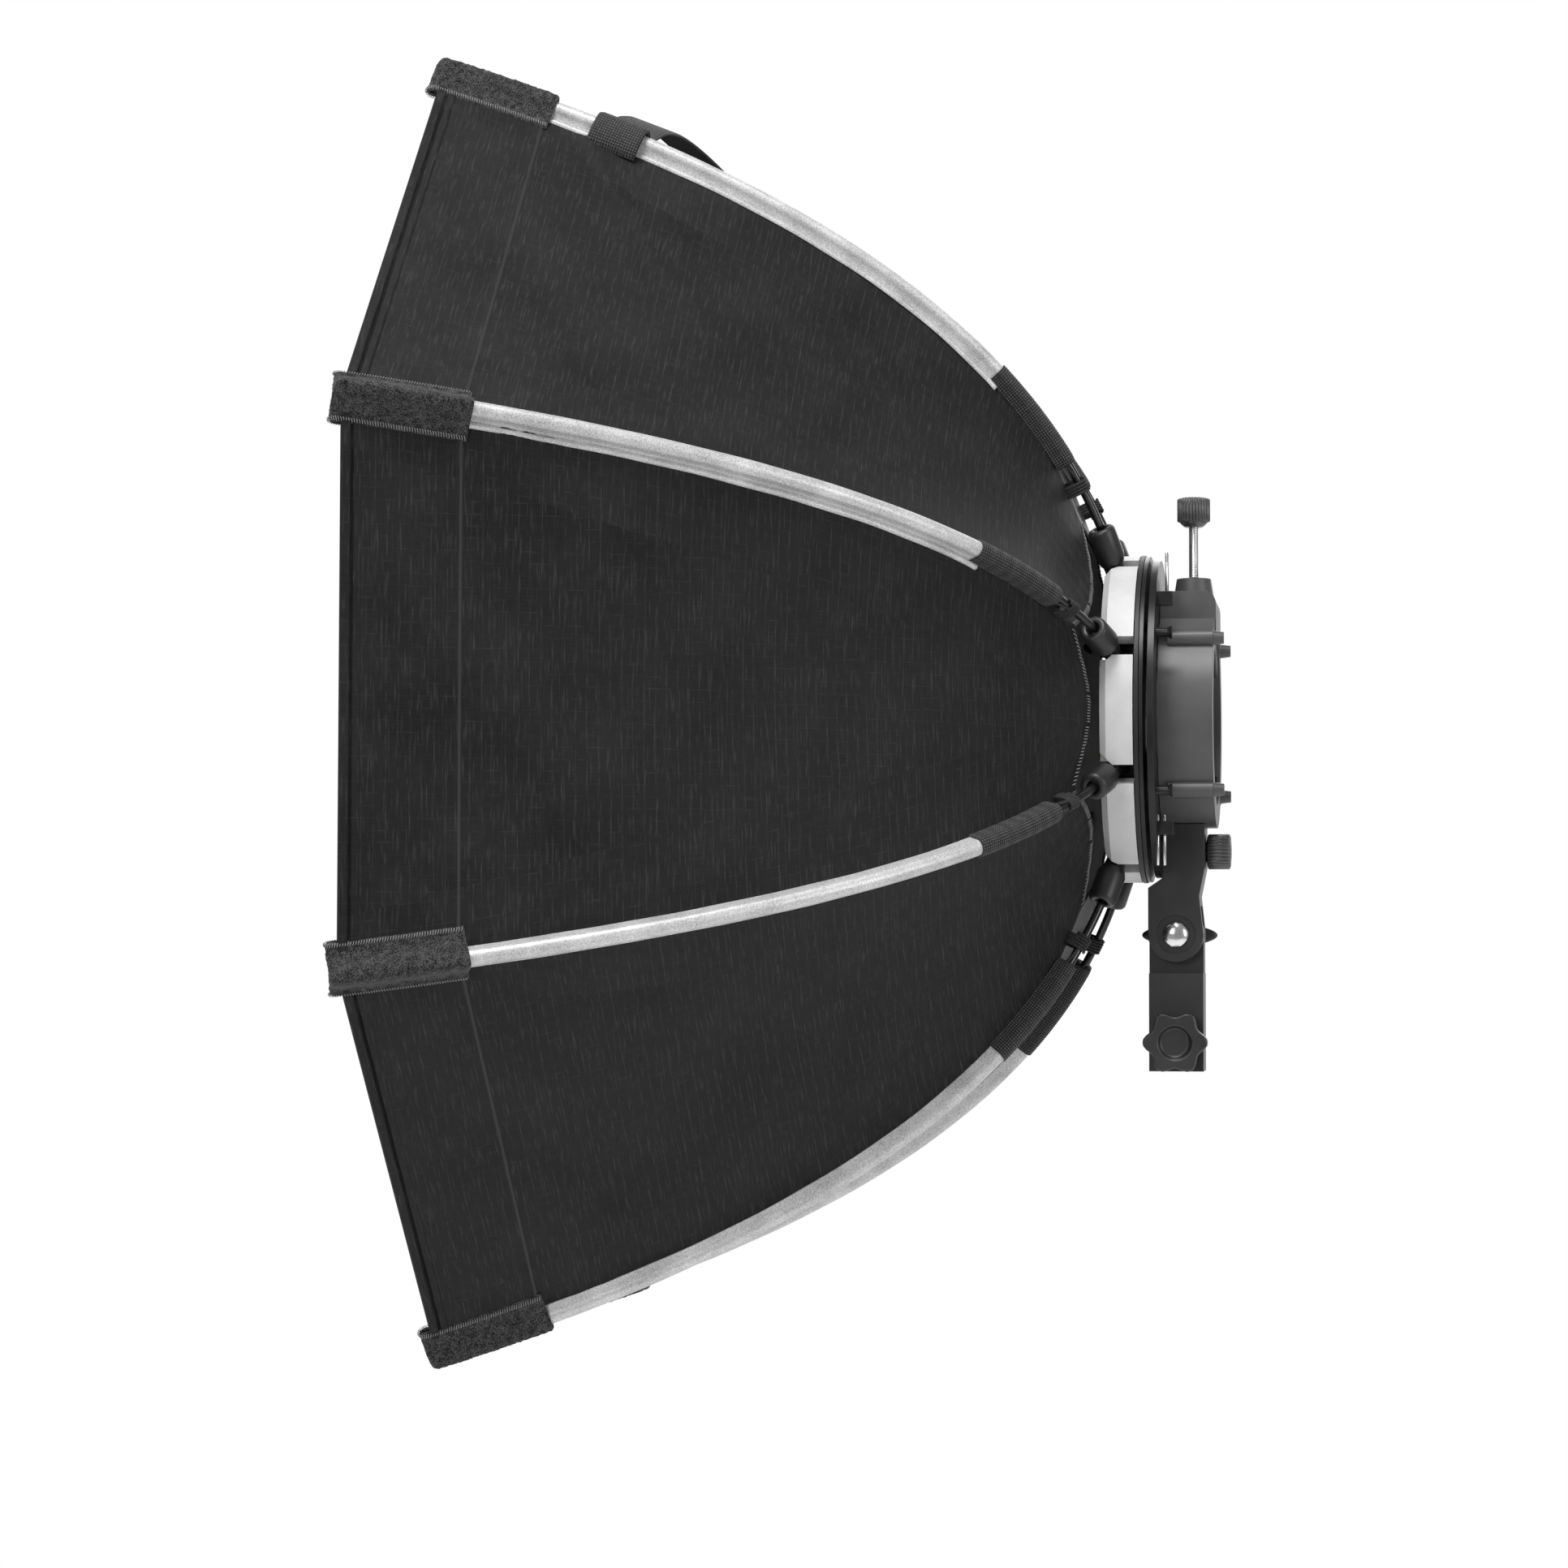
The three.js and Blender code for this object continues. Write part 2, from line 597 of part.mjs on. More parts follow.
function starKnob() {
  const outline = new THREE.Shape();
  const lobes = 6;
  const steps = 54;
  for (let i = 0; i < steps; i += 1) {
    const angle = (i * 2 * Math.PI) / steps;
    const reach = 13.9 + 1.6 * Math.cos(lobes * angle);
    const y = STAND_Y + reach * Math.cos(angle);
    const z = STAR_Z + reach * Math.sin(angle);
    if (i === 0) outline.moveTo(y, z);
    else outline.lineTo(y, z);
  }
  outline.closePath();
  const dish = rod([24.5, STAND_Y, STAR_Z], [28, STAND_Y, STAR_Z], 7, 8.5);
  return union(
    cut(sidePlate(outline, 16, 27), dish),
    rod([ADAPTER_HALF + GAP, STAND_Y, STAR_Z], [17, STAND_Y, STAR_Z], 7.5),
    rod([8.6, STAND_Y, STAR_Z], [15, STAND_Y, STAR_Z], 2.3, 2.3, 16),
  );
}

// ---------------------------------------------------------------- carry handle
// A webbing strap between the two top ribs, arched over the top gore.
function carryHandle() {
  const reach = 116;
  const rise = 14;
  const webbing = 2;
  const width = 25;
  const { point, inward } = stationAt(shareAtY(-237.5));
  point.addScaledVector(inward, -(ROD_RADIUS + 2 * GAP));
  const base = point.x * Math.cos(STEP / 2);
  const slope = Math.atan2(-inward.y * Math.cos(STEP / 2), -inward.x);
  const height = (x) => {
    const share = Math.min(1, (reach - Math.abs(x)) / 34);
    return rise * share * share * (3 - 2 * share);
  };
  const outline = new THREE.Shape();
  const steps = 28;
  const xAt = (i) => -reach + (2 * reach * i) / steps;
  outline.moveTo(-reach, height(-reach));
  for (let i = 1; i <= steps; i += 1) outline.lineTo(xAt(i), height(xAt(i)));
  for (let i = steps; i >= 0; i -= 1) outline.lineTo(xAt(i), height(xAt(i)) + webbing);
  outline.closePath();
  const geometry = new THREE.ExtrudeGeometry(outline, { depth: width, bevelEnabled: false });
  const place = new THREE.Matrix4().makeTranslation(0, point.y, base);
  place.multiply(new THREE.Matrix4().makeRotationX(Math.PI / 2 - slope));
  place.multiply(new THREE.Matrix4().makeTranslation(0, 0, -width / 2));
  return solid(geometry, place);
}

// ---------------------------------------------------------------- assembly
const rib = geometryOf(ribSolid());
const ribPanel = ribPanelGeometry();
const gore = goreGeometry();
const sector = geometryOf(diffuserSector());
const key = geometryOf(releaseKey());

function addAround(name, geometry, material, offset) {
  for (let i = 0; i < SIDES; i += 1) {
    const mesh = addPart(`${name}_${i + 1}`, geometry, material);
    mesh.rotation.y = -(i + offset) * STEP;
  }
}

addAround('rib', rib, blackPlastic, 0.5);
addAround('rib_panel', ribPanel, blackFabric, 0.5);
addAround('gore', gore, blackFabric, 1);
addAround('diffuser', sector, whiteFabric, 1);
addAround('release_key', key, greyPlastic, 1);

addPart('hub_ring', hubRing(), blackPlastic);
addPart('bayonet_ring', bayonetRing(), blackMetal);
addPart('rib_hinge_wire', torus(HINGE_RADIUS, 1.0), steel);
addPart('face_plate', facePlate(), blackMetal);
addPart('clamp_body', clampBody(), blackPlastic);
addPart('lower_pad', jawBlock(38, CLAMP_HOLE_RADIUS - GAP - 0.4, 46, 270, 15, 34.5), rubber);
addPart('upper_jaw', upperJaw(), blackPlastic);
addPart('upper_pad', jawBlock(31, 34, 46, 90, 15.5, 34), rubber);
addPart('clamp_screw', rod([0, SCREW_Y, 39], [0, SCREW_Y, 93.2], 2.5, 2.5, 16), steel);
addPart('clamp_knob', clampKnob(), blackPlastic);
addPart('tilt_arm', tiltArm(), blackPlastic);
addPart('rear_thumbscrew', rearThumbscrew(), blackPlastic);
addPart('pivot_bolt', pivotBolt(), steel);
addPart('tilt_lever', tiltLever(), blackPlastic);
addPart('stand_adapter', standAdapter(), blackPlastic);
addPart('star_knob', starKnob(), blackPlastic);
addPart('carry_handle', carryHandle(), blackFabric);

export default model;
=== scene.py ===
import json
import math
import random

import bmesh
import bpy
import numpy as np
from mathutils import Matrix, Quaternion, Vector


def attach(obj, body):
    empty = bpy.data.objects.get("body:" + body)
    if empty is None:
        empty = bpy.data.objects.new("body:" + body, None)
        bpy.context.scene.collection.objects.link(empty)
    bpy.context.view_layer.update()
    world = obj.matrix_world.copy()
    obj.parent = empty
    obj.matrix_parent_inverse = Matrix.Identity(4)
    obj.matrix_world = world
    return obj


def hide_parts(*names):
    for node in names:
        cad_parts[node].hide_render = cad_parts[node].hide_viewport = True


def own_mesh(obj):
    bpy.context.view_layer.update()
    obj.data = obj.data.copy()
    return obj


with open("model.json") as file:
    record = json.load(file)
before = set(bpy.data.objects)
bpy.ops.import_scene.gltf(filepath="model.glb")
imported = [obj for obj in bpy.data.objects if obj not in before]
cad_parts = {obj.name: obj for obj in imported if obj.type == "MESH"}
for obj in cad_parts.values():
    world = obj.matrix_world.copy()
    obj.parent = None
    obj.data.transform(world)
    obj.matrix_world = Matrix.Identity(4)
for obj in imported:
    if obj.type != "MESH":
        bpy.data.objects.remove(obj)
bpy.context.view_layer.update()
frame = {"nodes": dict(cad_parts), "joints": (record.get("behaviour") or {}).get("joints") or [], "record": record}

# ---- sizes, in metres
MM = 0.001
SIDES = 8
HALF_STEP = math.pi / SIDES
JOINTS = {joint["name"]: joint for joint in frame["joints"]}
SLOT_OF_NODE = {part["node"]: part["material_slot"] for part in frame["record"]["subparts"]}
BODY_OF_NODE = {
    node: body for body, nodes in frame["record"]["behaviour"]["bodies"].items() for node in nodes
}
HUB = Vector(JOINTS["bayonet_twist"]["pos_m"])
TILT_PIVOT = Vector(JOINTS["tilt"]["pos_m"])

# The rib's curve as radius and y from the hub's centre: a cubic through the hinge and the rim.
RIB_CONTROL = np.array([(64, -8), (163, -31), (252, -108), (325, -320)]) * MM
RIB_FOLD = math.radians(39.3)
ROD_RADIUS = 2 * MM
FABRIC_OFFSET = 3.3 * MM
FABRIC_THICKNESS = 0.9 * MM
COVER_START = 0.125
NECK_END = 0.30
NECK_REACH = 0.055
STRAP_WIDTH = 25 * MM
STRAP_THICKNESS = 1.9 * MM
STRAP_SKEW = 13 * MM
NECK_DROP = 4.5 * MM
BAND_WIDTH = 52 * MM
PAD_LENGTH = 56 * MM
DIFFUSER_Y = -262.5 * MM

random.seed(7)


def smoothstep(x):
    x = np.clip(x, 0.0, 1.0)
    return x * x * (3 - 2 * x)


def bump(x, centre, width):
    return np.exp(-(((x - centre) / width) ** 2))


def unit(v):
    return v / np.linalg.norm(v, axis=-1, keepdims=True)


# ---- the rib's curve
def rib_point(t):
    t = np.asarray(t, float)[..., None]
    a, b, c, d = RIB_CONTROL
    return (1 - t) ** 3 * a + 3 * t * (1 - t) ** 2 * b + 3 * t**2 * (1 - t) * c + t**3 * d


def rib_direction(t):
    t = np.asarray(t, float)[..., None]
    a, b, c, d = RIB_CONTROL
    return unit(3 * (1 - t) ** 2 * (b - a) + 6 * t * (1 - t) * (c - b) + 3 * t**2 * (d - c))


def rib_outward(t):
    along = rib_direction(t)
    return np.stack([-along[..., 1], along[..., 0]], axis=-1)


def folded_radius(place):
    """How far a point of a rib's plane lies from the axis once the rib has folded."""
    reach = place - RIB_CONTROL[0]
    turned = reach[..., 0] * math.cos(RIB_FOLD) + reach[..., 1] * math.sin(RIB_FOLD)
    return RIB_CONTROL[0][0] + turned


CURVE_T = np.linspace(0, 1, 4001)
CURVE_POINTS = rib_point(CURVE_T)
CURVE_STEPS = np.linalg.norm(np.diff(CURVE_POINTS, axis=0), axis=1)
CURVE_LENGTH = np.concatenate([[0], np.cumsum(CURVE_STEPS)])
RIB_LENGTH = CURVE_LENGTH[-1]


def length_at(t):
    return np.interp(t, CURVE_T, CURVE_LENGTH)


def t_at_length(length):
    return np.interp(length, CURVE_LENGTH, CURVE_T)


def t_from_rim(distance):
    return t_at_length(RIB_LENGTH - np.asarray(distance))


def t_at_radius(radius):
    return float(np.interp(radius, CURVE_POINTS[:, 0], CURVE_T))


def t_at_y(y):
    return float(np.interp(-y, -CURVE_POINTS[:, 1], CURVE_T))


# ---- placing things round the hub
def azimuth_axes(angle):
    radial = Vector((math.cos(angle), 0, math.sin(angle)))
    tangent = Vector((-math.sin(angle), 0, math.cos(angle)))
    return radial, tangent


def placed(angle, radial_part, tangent_part, y_part):
    radial, tangent = azimuth_axes(angle)
    shape = np.broadcast(radial_part, tangent_part, y_part).shape
    out = np.zeros(shape + (3,))
    for axis in range(3):
        out[..., axis] = HUB[axis] + radial_part * radial[axis] + tangent_part * tangent[axis]
    out[..., 1] += y_part
    return out


def rib_angle(n):
    return HALF_STEP * (2 * n - 1)


def gore_angle(n):
    return HALF_STEP * 2 * n


# ---- mesh helpers
def new_object(name, vertices, faces, materials, smooth=True, face_materials=None, uvs=None):
    mesh = bpy.data.meshes.new(name)
    mesh.from_pydata([tuple(v) for v in vertices], [], faces)
    for material in materials:
        mesh.materials.append(material)
    if face_materials is not None:
        mesh.polygons.foreach_set("material_index", face_materials)
    if uvs is not None:
        layer = mesh.uv_layers.new(name="cloth")
        corner_vertices = np.zeros(len(mesh.loops), int)
        mesh.loops.foreach_get("vertex_index", corner_vertices)
        layer.data.foreach_set("uv", np.reshape(uvs, (-1, 2))[corner_vertices].ravel())
    mesh.polygons.foreach_set("use_smooth", [smooth] * len(mesh.polygons))
    mesh.validate()
    obj = bpy.data.objects.new(name, mesh)
    bpy.context.scene.collection.objects.link(obj)
    return obj


def fix_normals(obj):
    work = bmesh.new()
    work.from_mesh(obj.data)
    bmesh.ops.recalc_face_normals(work, faces=work.faces)
    work.to_mesh(obj.data)
    work.free()
    return obj


def ring_faces(count, rings, start=0):
    faces = []
    for s in range(rings - 1):
        for i in range(count):
            a = start + s * count + i
            b = start + s * count + (i + 1) % count
            faces.append((a, b, b + count, a + count))
    return faces


def loft(name, sections, materials, uvs=None):
    """A closed skin over rings of equal count, capped at both ends."""
    sections = np.asarray(sections, float)
    rings, count = sections.shape[:2]
    faces = ring_faces(count, rings)
    faces.append(tuple(reversed(range(count))))
    faces.append(tuple(range((rings - 1) * count, rings * count)))
    return fix_normals(new_object(name, sections.reshape(-1, 3), faces, materials, uvs=uvs))


def axis_frame(direction):
    direction = Vector(direction).normalized()
    side = direction.orthogonal().normalized()
    return [np.array(v) for v in (direction, side, direction.cross(side))]


def axis_ring(origin, axes, distance, radii, angles):
    along, side, up = axes
    sideways = np.outer(radii * np.cos(angles), side)
    return np.array(origin) + along * distance + sideways + np.outer(radii * np.sin(angles), up)


def lathe(name, origin, direction, profile, materials, segments=48, wobble=None):
    """Rings of (distance, radius) pairs, in millimetres, along an axis; both ends are capped."""
    axes = axis_frame(direction)
    angles = np.linspace(0, 2 * math.pi, segments, endpoint=False)
    sections = []
    for distance, radius in np.array(profile) * MM:
        radii = np.full(segments, radius) if wobble is None else wobble(distance, radius, angles)
        sections.append(axis_ring(origin, axes, distance, radii, angles))
    return loft(name, sections, materials)


def join(name, pieces):
    target = pieces[0]
    materials = list(dict.fromkeys(m for piece in pieces for m in piece.data.materials))
    work = bmesh.new()
    layers_needed = any(piece.data.uv_layers for piece in pieces)
    for piece in pieces:
        if layers_needed and not piece.data.uv_layers:
            piece.data.uv_layers.new(name="cloth")
        index = [materials.index(m) for m in piece.data.materials] or [0]
        before = len(work.faces)
        work.from_mesh(piece.data)
        work.faces.ensure_lookup_table()
        for face in work.faces[before:]:
            face.material_index = index[min(face.material_index, len(index) - 1)]
    target.data.materials.clear()
    for material in materials:
        target.data.materials.append(material)
    work.to_mesh(target.data)
    work.free()
    for piece in pieces[1:]:
        bpy.data.objects.remove(piece)
    target.name = name
    return target


def belongs(obj, body, slot, *nodes):
    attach(obj, body)
    if nodes:
        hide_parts(*nodes)
    return obj


# ---- materials
def fill_socket(tree, node, socket, value):
    """Links the socket when value is another node's output, and sets it otherwise."""
    if isinstance(value, bpy.types.NodeSocket):
        tree.links.new(value, node.inputs[socket])
    else:
        node.inputs[socket].default_value = value


def add_node(tree, kind, inputs=(), **properties):
    made = tree.nodes.new("ShaderNode" + kind)
    for key, value in properties.items():
        setattr(made, key, value)
    for key, value in dict(inputs).items():
        fill_socket(tree, made, key, value)
    return made


class Finish:
    """A Principled material with a few helpers for its procedural nodes."""

    def __init__(self, name, roughness, metallic=0.0, **constants):
        self.material = bpy.data.materials.new(name)
        self.material.use_nodes = True
        self.tree = self.material.node_tree
        self.shader = self.tree.nodes["Principled BSDF"]
        self.set("Roughness", roughness)
        self.set("Metallic", metallic)
        for key, value in constants.items():
            self.set(key.replace("_", " "), value)

    def set(self, socket, value):
        fill_socket(self.tree, self.shader, socket, value)

    def node(self, kind, inputs=(), **properties):
        return add_node(self.tree, kind, inputs, **properties)

    def math(self, operation, a, b=0.0):
        return self.node("Math", {0: a, 1: b}, operation=operation).outputs[0]

    def spread(self, value, low, high, to_low=0.0, to_high=1.0):
        inputs = {"Value": value, "From Min": low, "From Max": high, "To Min": to_low, "To Max": to_high}
        return self.node("MapRange", inputs).outputs[0]

    def object_place(self):
        return self.node("TexCoord").outputs["Object"]

    def cloth_place(self):
        return self.node("UVMap", uv_map="cloth").outputs["UV"]

    def noise(self, place, scale, detail=2.0, roughness=0.5):
        inputs = {"Vector": place, "Scale": scale, "Detail": detail, "Roughness": roughness}
        return self.node("TexNoise", inputs).outputs["Fac"]

    def streaks(self, place, scale, detail=2.0, roughness=0.5):
        """Noise drawn out by a scale of its own along each direction."""
        stretched = self.node("Mapping", {"Vector": place, "Scale": scale}).outputs[0]
        return self.noise(stretched, 1.0, detail, roughness)

    def blend(self, a, share, b):
        return self.math("ADD", self.math("MULTIPLY", a, share), self.math("MULTIPLY", b, 1 - share))

    def colour(self, factor, dark, light):
        inputs = {"Factor": factor, "A": (*dark, 1), "B": (*light, 1)}
        self.set("Base Color", self.node("Mix", inputs, data_type="RGBA").outputs["Result"])
        return self

    def roughness(self, factor, low, high):
        self.set("Roughness", self.spread(factor, 0, 1, low, high))
        return self

    def relief(self, height, distance, strength=1.0):
        inputs = {"Height": height, "Distance": distance, "Strength": strength}
        self.set("Normal", self.node("Bump", inputs).outputs["Normal"])
        return self


def grey(value, warmth=0.0):
    return (value * (1 + warmth), value, value * (1 - warmth))


def zigzag(finish, coordinate, pitch):
    return finish.math("PINGPONG", finish.math("ADD", coordinate, 10.0), pitch / 2)


def grid_line(finish, coordinate, pitch, width):
    """1 on thin lines that repeat every pitch, 0 between them."""
    return finish.spread(zigzag(finish, coordinate, pitch), width / 2, width, 1.0, 0.0)


def ripstop():
    finish = Finish("black_ripstop", 0.6, Specular_IOR_Level=0.12, Sheen_Weight=0.03, Sheen_Roughness=0.4)
    place = finish.cloth_place()
    split = finish.node("SeparateXYZ", {0: place})
    across = grid_line(finish, split.outputs[0], 5.2 * MM, 0.45 * MM)
    along = grid_line(finish, split.outputs[1], 5.2 * MM, 0.45 * MM)
    threads_across = finish.streaks(place, (110, 1500, 1), 3.0, 0.6)
    threads_along = finish.streaks(place, (1500, 110, 1), 3.0, 0.6)
    slub = finish.math("MULTIPLY", across, finish.spread(threads_along, 0.48, 0.72, 0.0, 0.3))
    streak = finish.math("MULTIPLY", along, finish.spread(threads_across, 0.45, 0.7, 0.0, 0.55))
    loose = finish.streaks(place, (75, 900, 1))
    loose = finish.spread(loose, 0.56, 0.76, 0.0, 0.5)
    lines = finish.math("MAXIMUM", finish.math("MAXIMUM", slub, streak), loose)
    cloud = finish.noise(place, 22.0, 3.0)
    weave = finish.math("MULTIPLY", finish.math("ADD", threads_across, threads_along), 0.22)
    seam_place = float(RIB_LENGTH - BAND_WIDTH)
    from_seam = finish.math("ABSOLUTE", finish.math("SUBTRACT", split.outputs[1], seam_place))
    # The seam's lighter line is a painted highlight along the band's lapped seam. Its share of the bump is real
    # relief, but its lighter tone is painted light.
    seam = finish.spread(from_seam, 0.35 * MM, 0.9 * MM, 0.7, 0.0)
    lines = finish.math("MAXIMUM", lines, seam)
    tone = finish.math("ADD", finish.math("ADD", lines, weave), finish.spread(cloud, 0.3, 0.7, 0.0, 0.15))
    finish.colour(finish.spread(tone, 0.1, 1.3), grey(0.0035), grey(0.052))
    finish.roughness(cloud, 0.5, 0.66)
    height = finish.math("ADD", lines, finish.math("MULTIPLY", weave, 0.8))
    return finish.relief(height, 0.08 * MM, 0.7).material


def silver_lining():
    finish = Finish("silver_lining", 0.36, 0.85)
    place = finish.cloth_place()
    cells = finish.node("TexVoronoi", {"Vector": place, "Scale": 420.0}).outputs["Distance"]
    cloud = finish.noise(place, 30.0, 2.0)
    finish.colour(cloud, grey(0.62), grey(0.78))
    finish.roughness(cloud, 0.3, 0.45)
    return finish.relief(cells, 0.3 * MM, 0.5).material


def white_diffuser():
    finish = Finish("white_diffuser", 0.78, Sheen_Weight=0.15)
    place = finish.cloth_place()
    across = finish.streaks(place, (2200, 160, 1))
    along = finish.streaks(place, (160, 2200, 1))
    weave = finish.math("MULTIPLY", finish.math("ADD", across, along), 0.5)
    cloud = finish.noise(place, 9.0, 2.0)
    tone = finish.blend(weave, 0.5, cloud)
    finish.colour(tone, grey(0.74, 0.004), grey(0.9, 0.004))
    return finish.relief(weave, 0.1 * MM, 0.5).material


def grey_sleeve():
    finish = Finish("grey_sleeve", 0.42, 0.25, Specular_IOR_Level=0.6)
    place = finish.object_place()
    grain = finish.noise(place, 1500.0, 3.0, 0.6)
    cloud = finish.noise(place, 60.0, 2.0)
    tone = finish.blend(grain, 0.7, cloud)
    finish.colour(finish.spread(tone, 0.34, 0.66), grey(0.28), grey(0.7))
    finish.roughness(grain, 0.32, 0.52)
    return finish.relief(grain, 0.12 * MM, 0.7).material


def loop_pile():
    finish = Finish("loop_pile", 0.9, Sheen_Weight=0.12, Sheen_Roughness=0.5, Specular_IOR_Level=0.15)
    place = finish.object_place()
    loops = finish.noise(place, 1700.0, 2.0, 0.7)
    tufts = finish.noise(place, 380.0, 2.0, 0.5)
    tone = finish.blend(loops, 0.75, tufts)
    finish.colour(finish.spread(tone, 0.42, 0.66), grey(0.002), grey(0.1))
    return finish.relief(loops, 0.5 * MM, 0.9).material


def webbing():
    finish = Finish("webbing", 0.72, Sheen_Weight=0.08, Specular_IOR_Level=0.2)
    place = finish.cloth_place()
    split = finish.node("SeparateXYZ", {0: place})
    pitch = 1.25 * MM
    picks = zigzag(finish, split.outputs[1], pitch)
    ends = zigzag(finish, split.outputs[0], pitch)
    basket = finish.math("MULTIPLY", finish.spread(picks, 0, pitch / 2), finish.spread(ends, 0, pitch / 2))
    yarn = finish.noise(finish.object_place(), 1400.0, 2.0)
    tone = finish.math("MULTIPLY", basket, finish.spread(yarn, 0.35, 0.65, 0.4, 1.0))
    finish.colour(tone, grey(0.006), grey(0.17))
    return finish.relief(basket, 0.35 * MM, 0.9).material


def binding_tape():
    finish = Finish("binding_tape", 0.7, Sheen_Weight=0.05, Specular_IOR_Level=0.2)
    grain = finish.noise(finish.object_place(), 1300.0, 3.0, 0.6)
    finish.colour(finish.spread(grain, 0.35, 0.7), grey(0.012), grey(0.045))
    return finish.relief(grain, 0.12 * MM, 0.8).material


def thread():
    finish = Finish("stitching_thread", 0.6, Sheen_Weight=0.2)
    fibre = finish.noise(finish.object_place(), 2500.0, 1.0)
    finish.colour(fibre, grey(0.14), grey(0.3))
    return finish.relief(fibre, 0.1 * MM).material


def moulded(name, dark, light, rough_low, rough_high, grain_depth=0.04, metallic=0.0, gloss=0.3):
    finish = Finish(name, rough_high, metallic, Specular_IOR_Level=gloss)
    place = finish.object_place()
    spark = finish.noise(place, 2600.0, 2.0, 0.6)
    cloud = finish.noise(place, 55.0, 3.0)
    tone = finish.blend(spark, 0.35, cloud)
    finish.colour(finish.spread(tone, 0.32, 0.68), grey(dark), grey(light))
    finish.roughness(cloud, rough_low, rough_high)
    return finish.relief(spark, grain_depth * MM, 0.6).material


def brushed_steel():
    finish = Finish("steel", 0.2, 1.0)
    place = finish.object_place()
    scratches = finish.streaks(place, (1800, 1800, 150))
    cloud = finish.noise(place, 90.0, 2.0)
    finish.colour(cloud, grey(0.55), grey(0.8))
    finish.roughness(scratches, 0.12, 0.34)
    return finish.relief(scratches, 0.01 * MM).material


RIPSTOP = ripstop()
LINING = silver_lining()
DIFFUSER = white_diffuser()
SLEEVE = grey_sleeve()
PILE = loop_pile()
WEBBING = webbing()
BINDING = binding_tape()
THREAD = thread()
STEEL = brushed_steel()
BLACK_PLASTIC = moulded("black_plastic", 0.01, 0.02, 0.36, 0.48, gloss=0.5)
HUB_PLASTIC = moulded("hub_plastic", 0.010, 0.022, 0.4, 0.52)
GREY_PLASTIC = moulded("grey_plastic", 0.46, 0.6, 0.42, 0.55, 0.03, gloss=0.5)
BLACK_METAL = moulded("black_metal", 0.014, 0.03, 0.28, 0.4, 0.02, 0.6)
BLACK_WIRE = moulded("black_wire", 0.03, 0.06, 0.18, 0.3, 0.01, 0.8)
BODY_PLASTIC = moulded("body_plastic", 0.05, 0.07, 0.38, 0.5, gloss=0.5)
# The knobs are the same black plastic, glossier. Their lighter base colour is painted highlight for the knurl's
# bright glints.
LIT_KNOB_PLASTIC = moulded("knob_plastic_painted_highlight", 0.04, 0.07, 0.2, 0.3, gloss=0.7)
RUBBER = moulded("rubber", 0.01, 0.02, 0.6, 0.8, 0.08)

# ---- the cover
def cover_line(t):
    """Radius and y of the cover's outer face along a rib."""
    drop = FABRIC_OFFSET + NECK_DROP * smoothstep((NECK_END - t) / (NECK_END - COVER_START))
    return rib_point(t) - rib_outward(t) * drop[..., None]


def stitched_edge(d):
    """Height of the rim's binding and of the band's lapped seam, d from the rim's edge."""
    binding = 1.3 * MM * smoothstep(d / (0.8 * MM)) * (1 - smoothstep((d - 4.0 * MM) / (0.5 * MM)))
    groove = -0.5 * MM * bump(d, 4.9 * MM, 0.5 * MM)
    turning = 0.8 * MM * smoothstep((d - 5.3 * MM) / (0.4 * MM))
    turning *= 1 - smoothstep((d - 8.7 * MM) / (0.5 * MM))
    lap = 0.7 * MM * (1 - smoothstep((d - BAND_WIDTH) / (0.6 * MM)))
    ridge = 0.5 * MM * bump(d, BAND_WIDTH - 1.0 * MM, 0.7 * MM)
    row = -0.2 * MM * bump(d, BAND_WIDTH - 5.5 * MM, 0.5 * MM)
    return binding + groove + turning + lap + ridge + row


def cloth_relief(n, t, u, half):
    """Folds and undulations of gore n: zero on the ribs, strongest in the open cloth."""
    chance = random.Random(100 + n)
    length = length_at(t)
    from_rim = RIB_LENGTH - length
    across = u * half
    open_cloth = (1 - u * u) ** 1.2
    height = np.zeros_like(across)
    for _ in range(5):
        wave_across = chance.uniform(30, 75)
        wave_along = chance.uniform(8, 24)
        phase = chance.uniform(0, 2 * math.pi)
        height += 0.28 * MM * np.sin(wave_across * across + wave_along * length + phase)
    height *= open_cloth * smoothstep((from_rim - 0.05) / 0.05)
    for side in (-1, 1):
        edge = half - side * across
        for start, slope, depth in ((62, 0.62, 0.75), (66, 1.25, 0.55), (70, 0.3, 0.5), (74, 2.2, 0.3)):
            depth *= chance.uniform(0.6, 1.2)
            reach = chance.uniform(70, 150) * MM
            behind = np.maximum(from_rim - start * MM, 0)
            offset = edge - slope * behind
            fade = smoothstep(behind / (12 * MM)) * (1 - smoothstep(behind / reach))
            height += depth * MM * bump(offset, 0, (2.2 + 1.4 * slope) * MM) * fade
    for side in (-1, 1):
        edge = np.maximum(half - side * across, 0)
        pucker = np.sin(length * 2 * math.pi / (11 * MM) + chance.uniform(0, 6))
        height += 0.16 * MM * pucker * smoothstep(edge / (4 * MM)) * np.exp(-edge / (9 * MM))
    gather = np.sin(across * 2 * math.pi / (8.5 * MM) + chance.uniform(0, 6))
    near_neck = np.exp(-np.maximum(length - length_at(COVER_START), 0) / (14 * MM))
    height += 0.13 * MM * gather * near_neck * np.minimum(open_cloth * 3, 1)
    return height


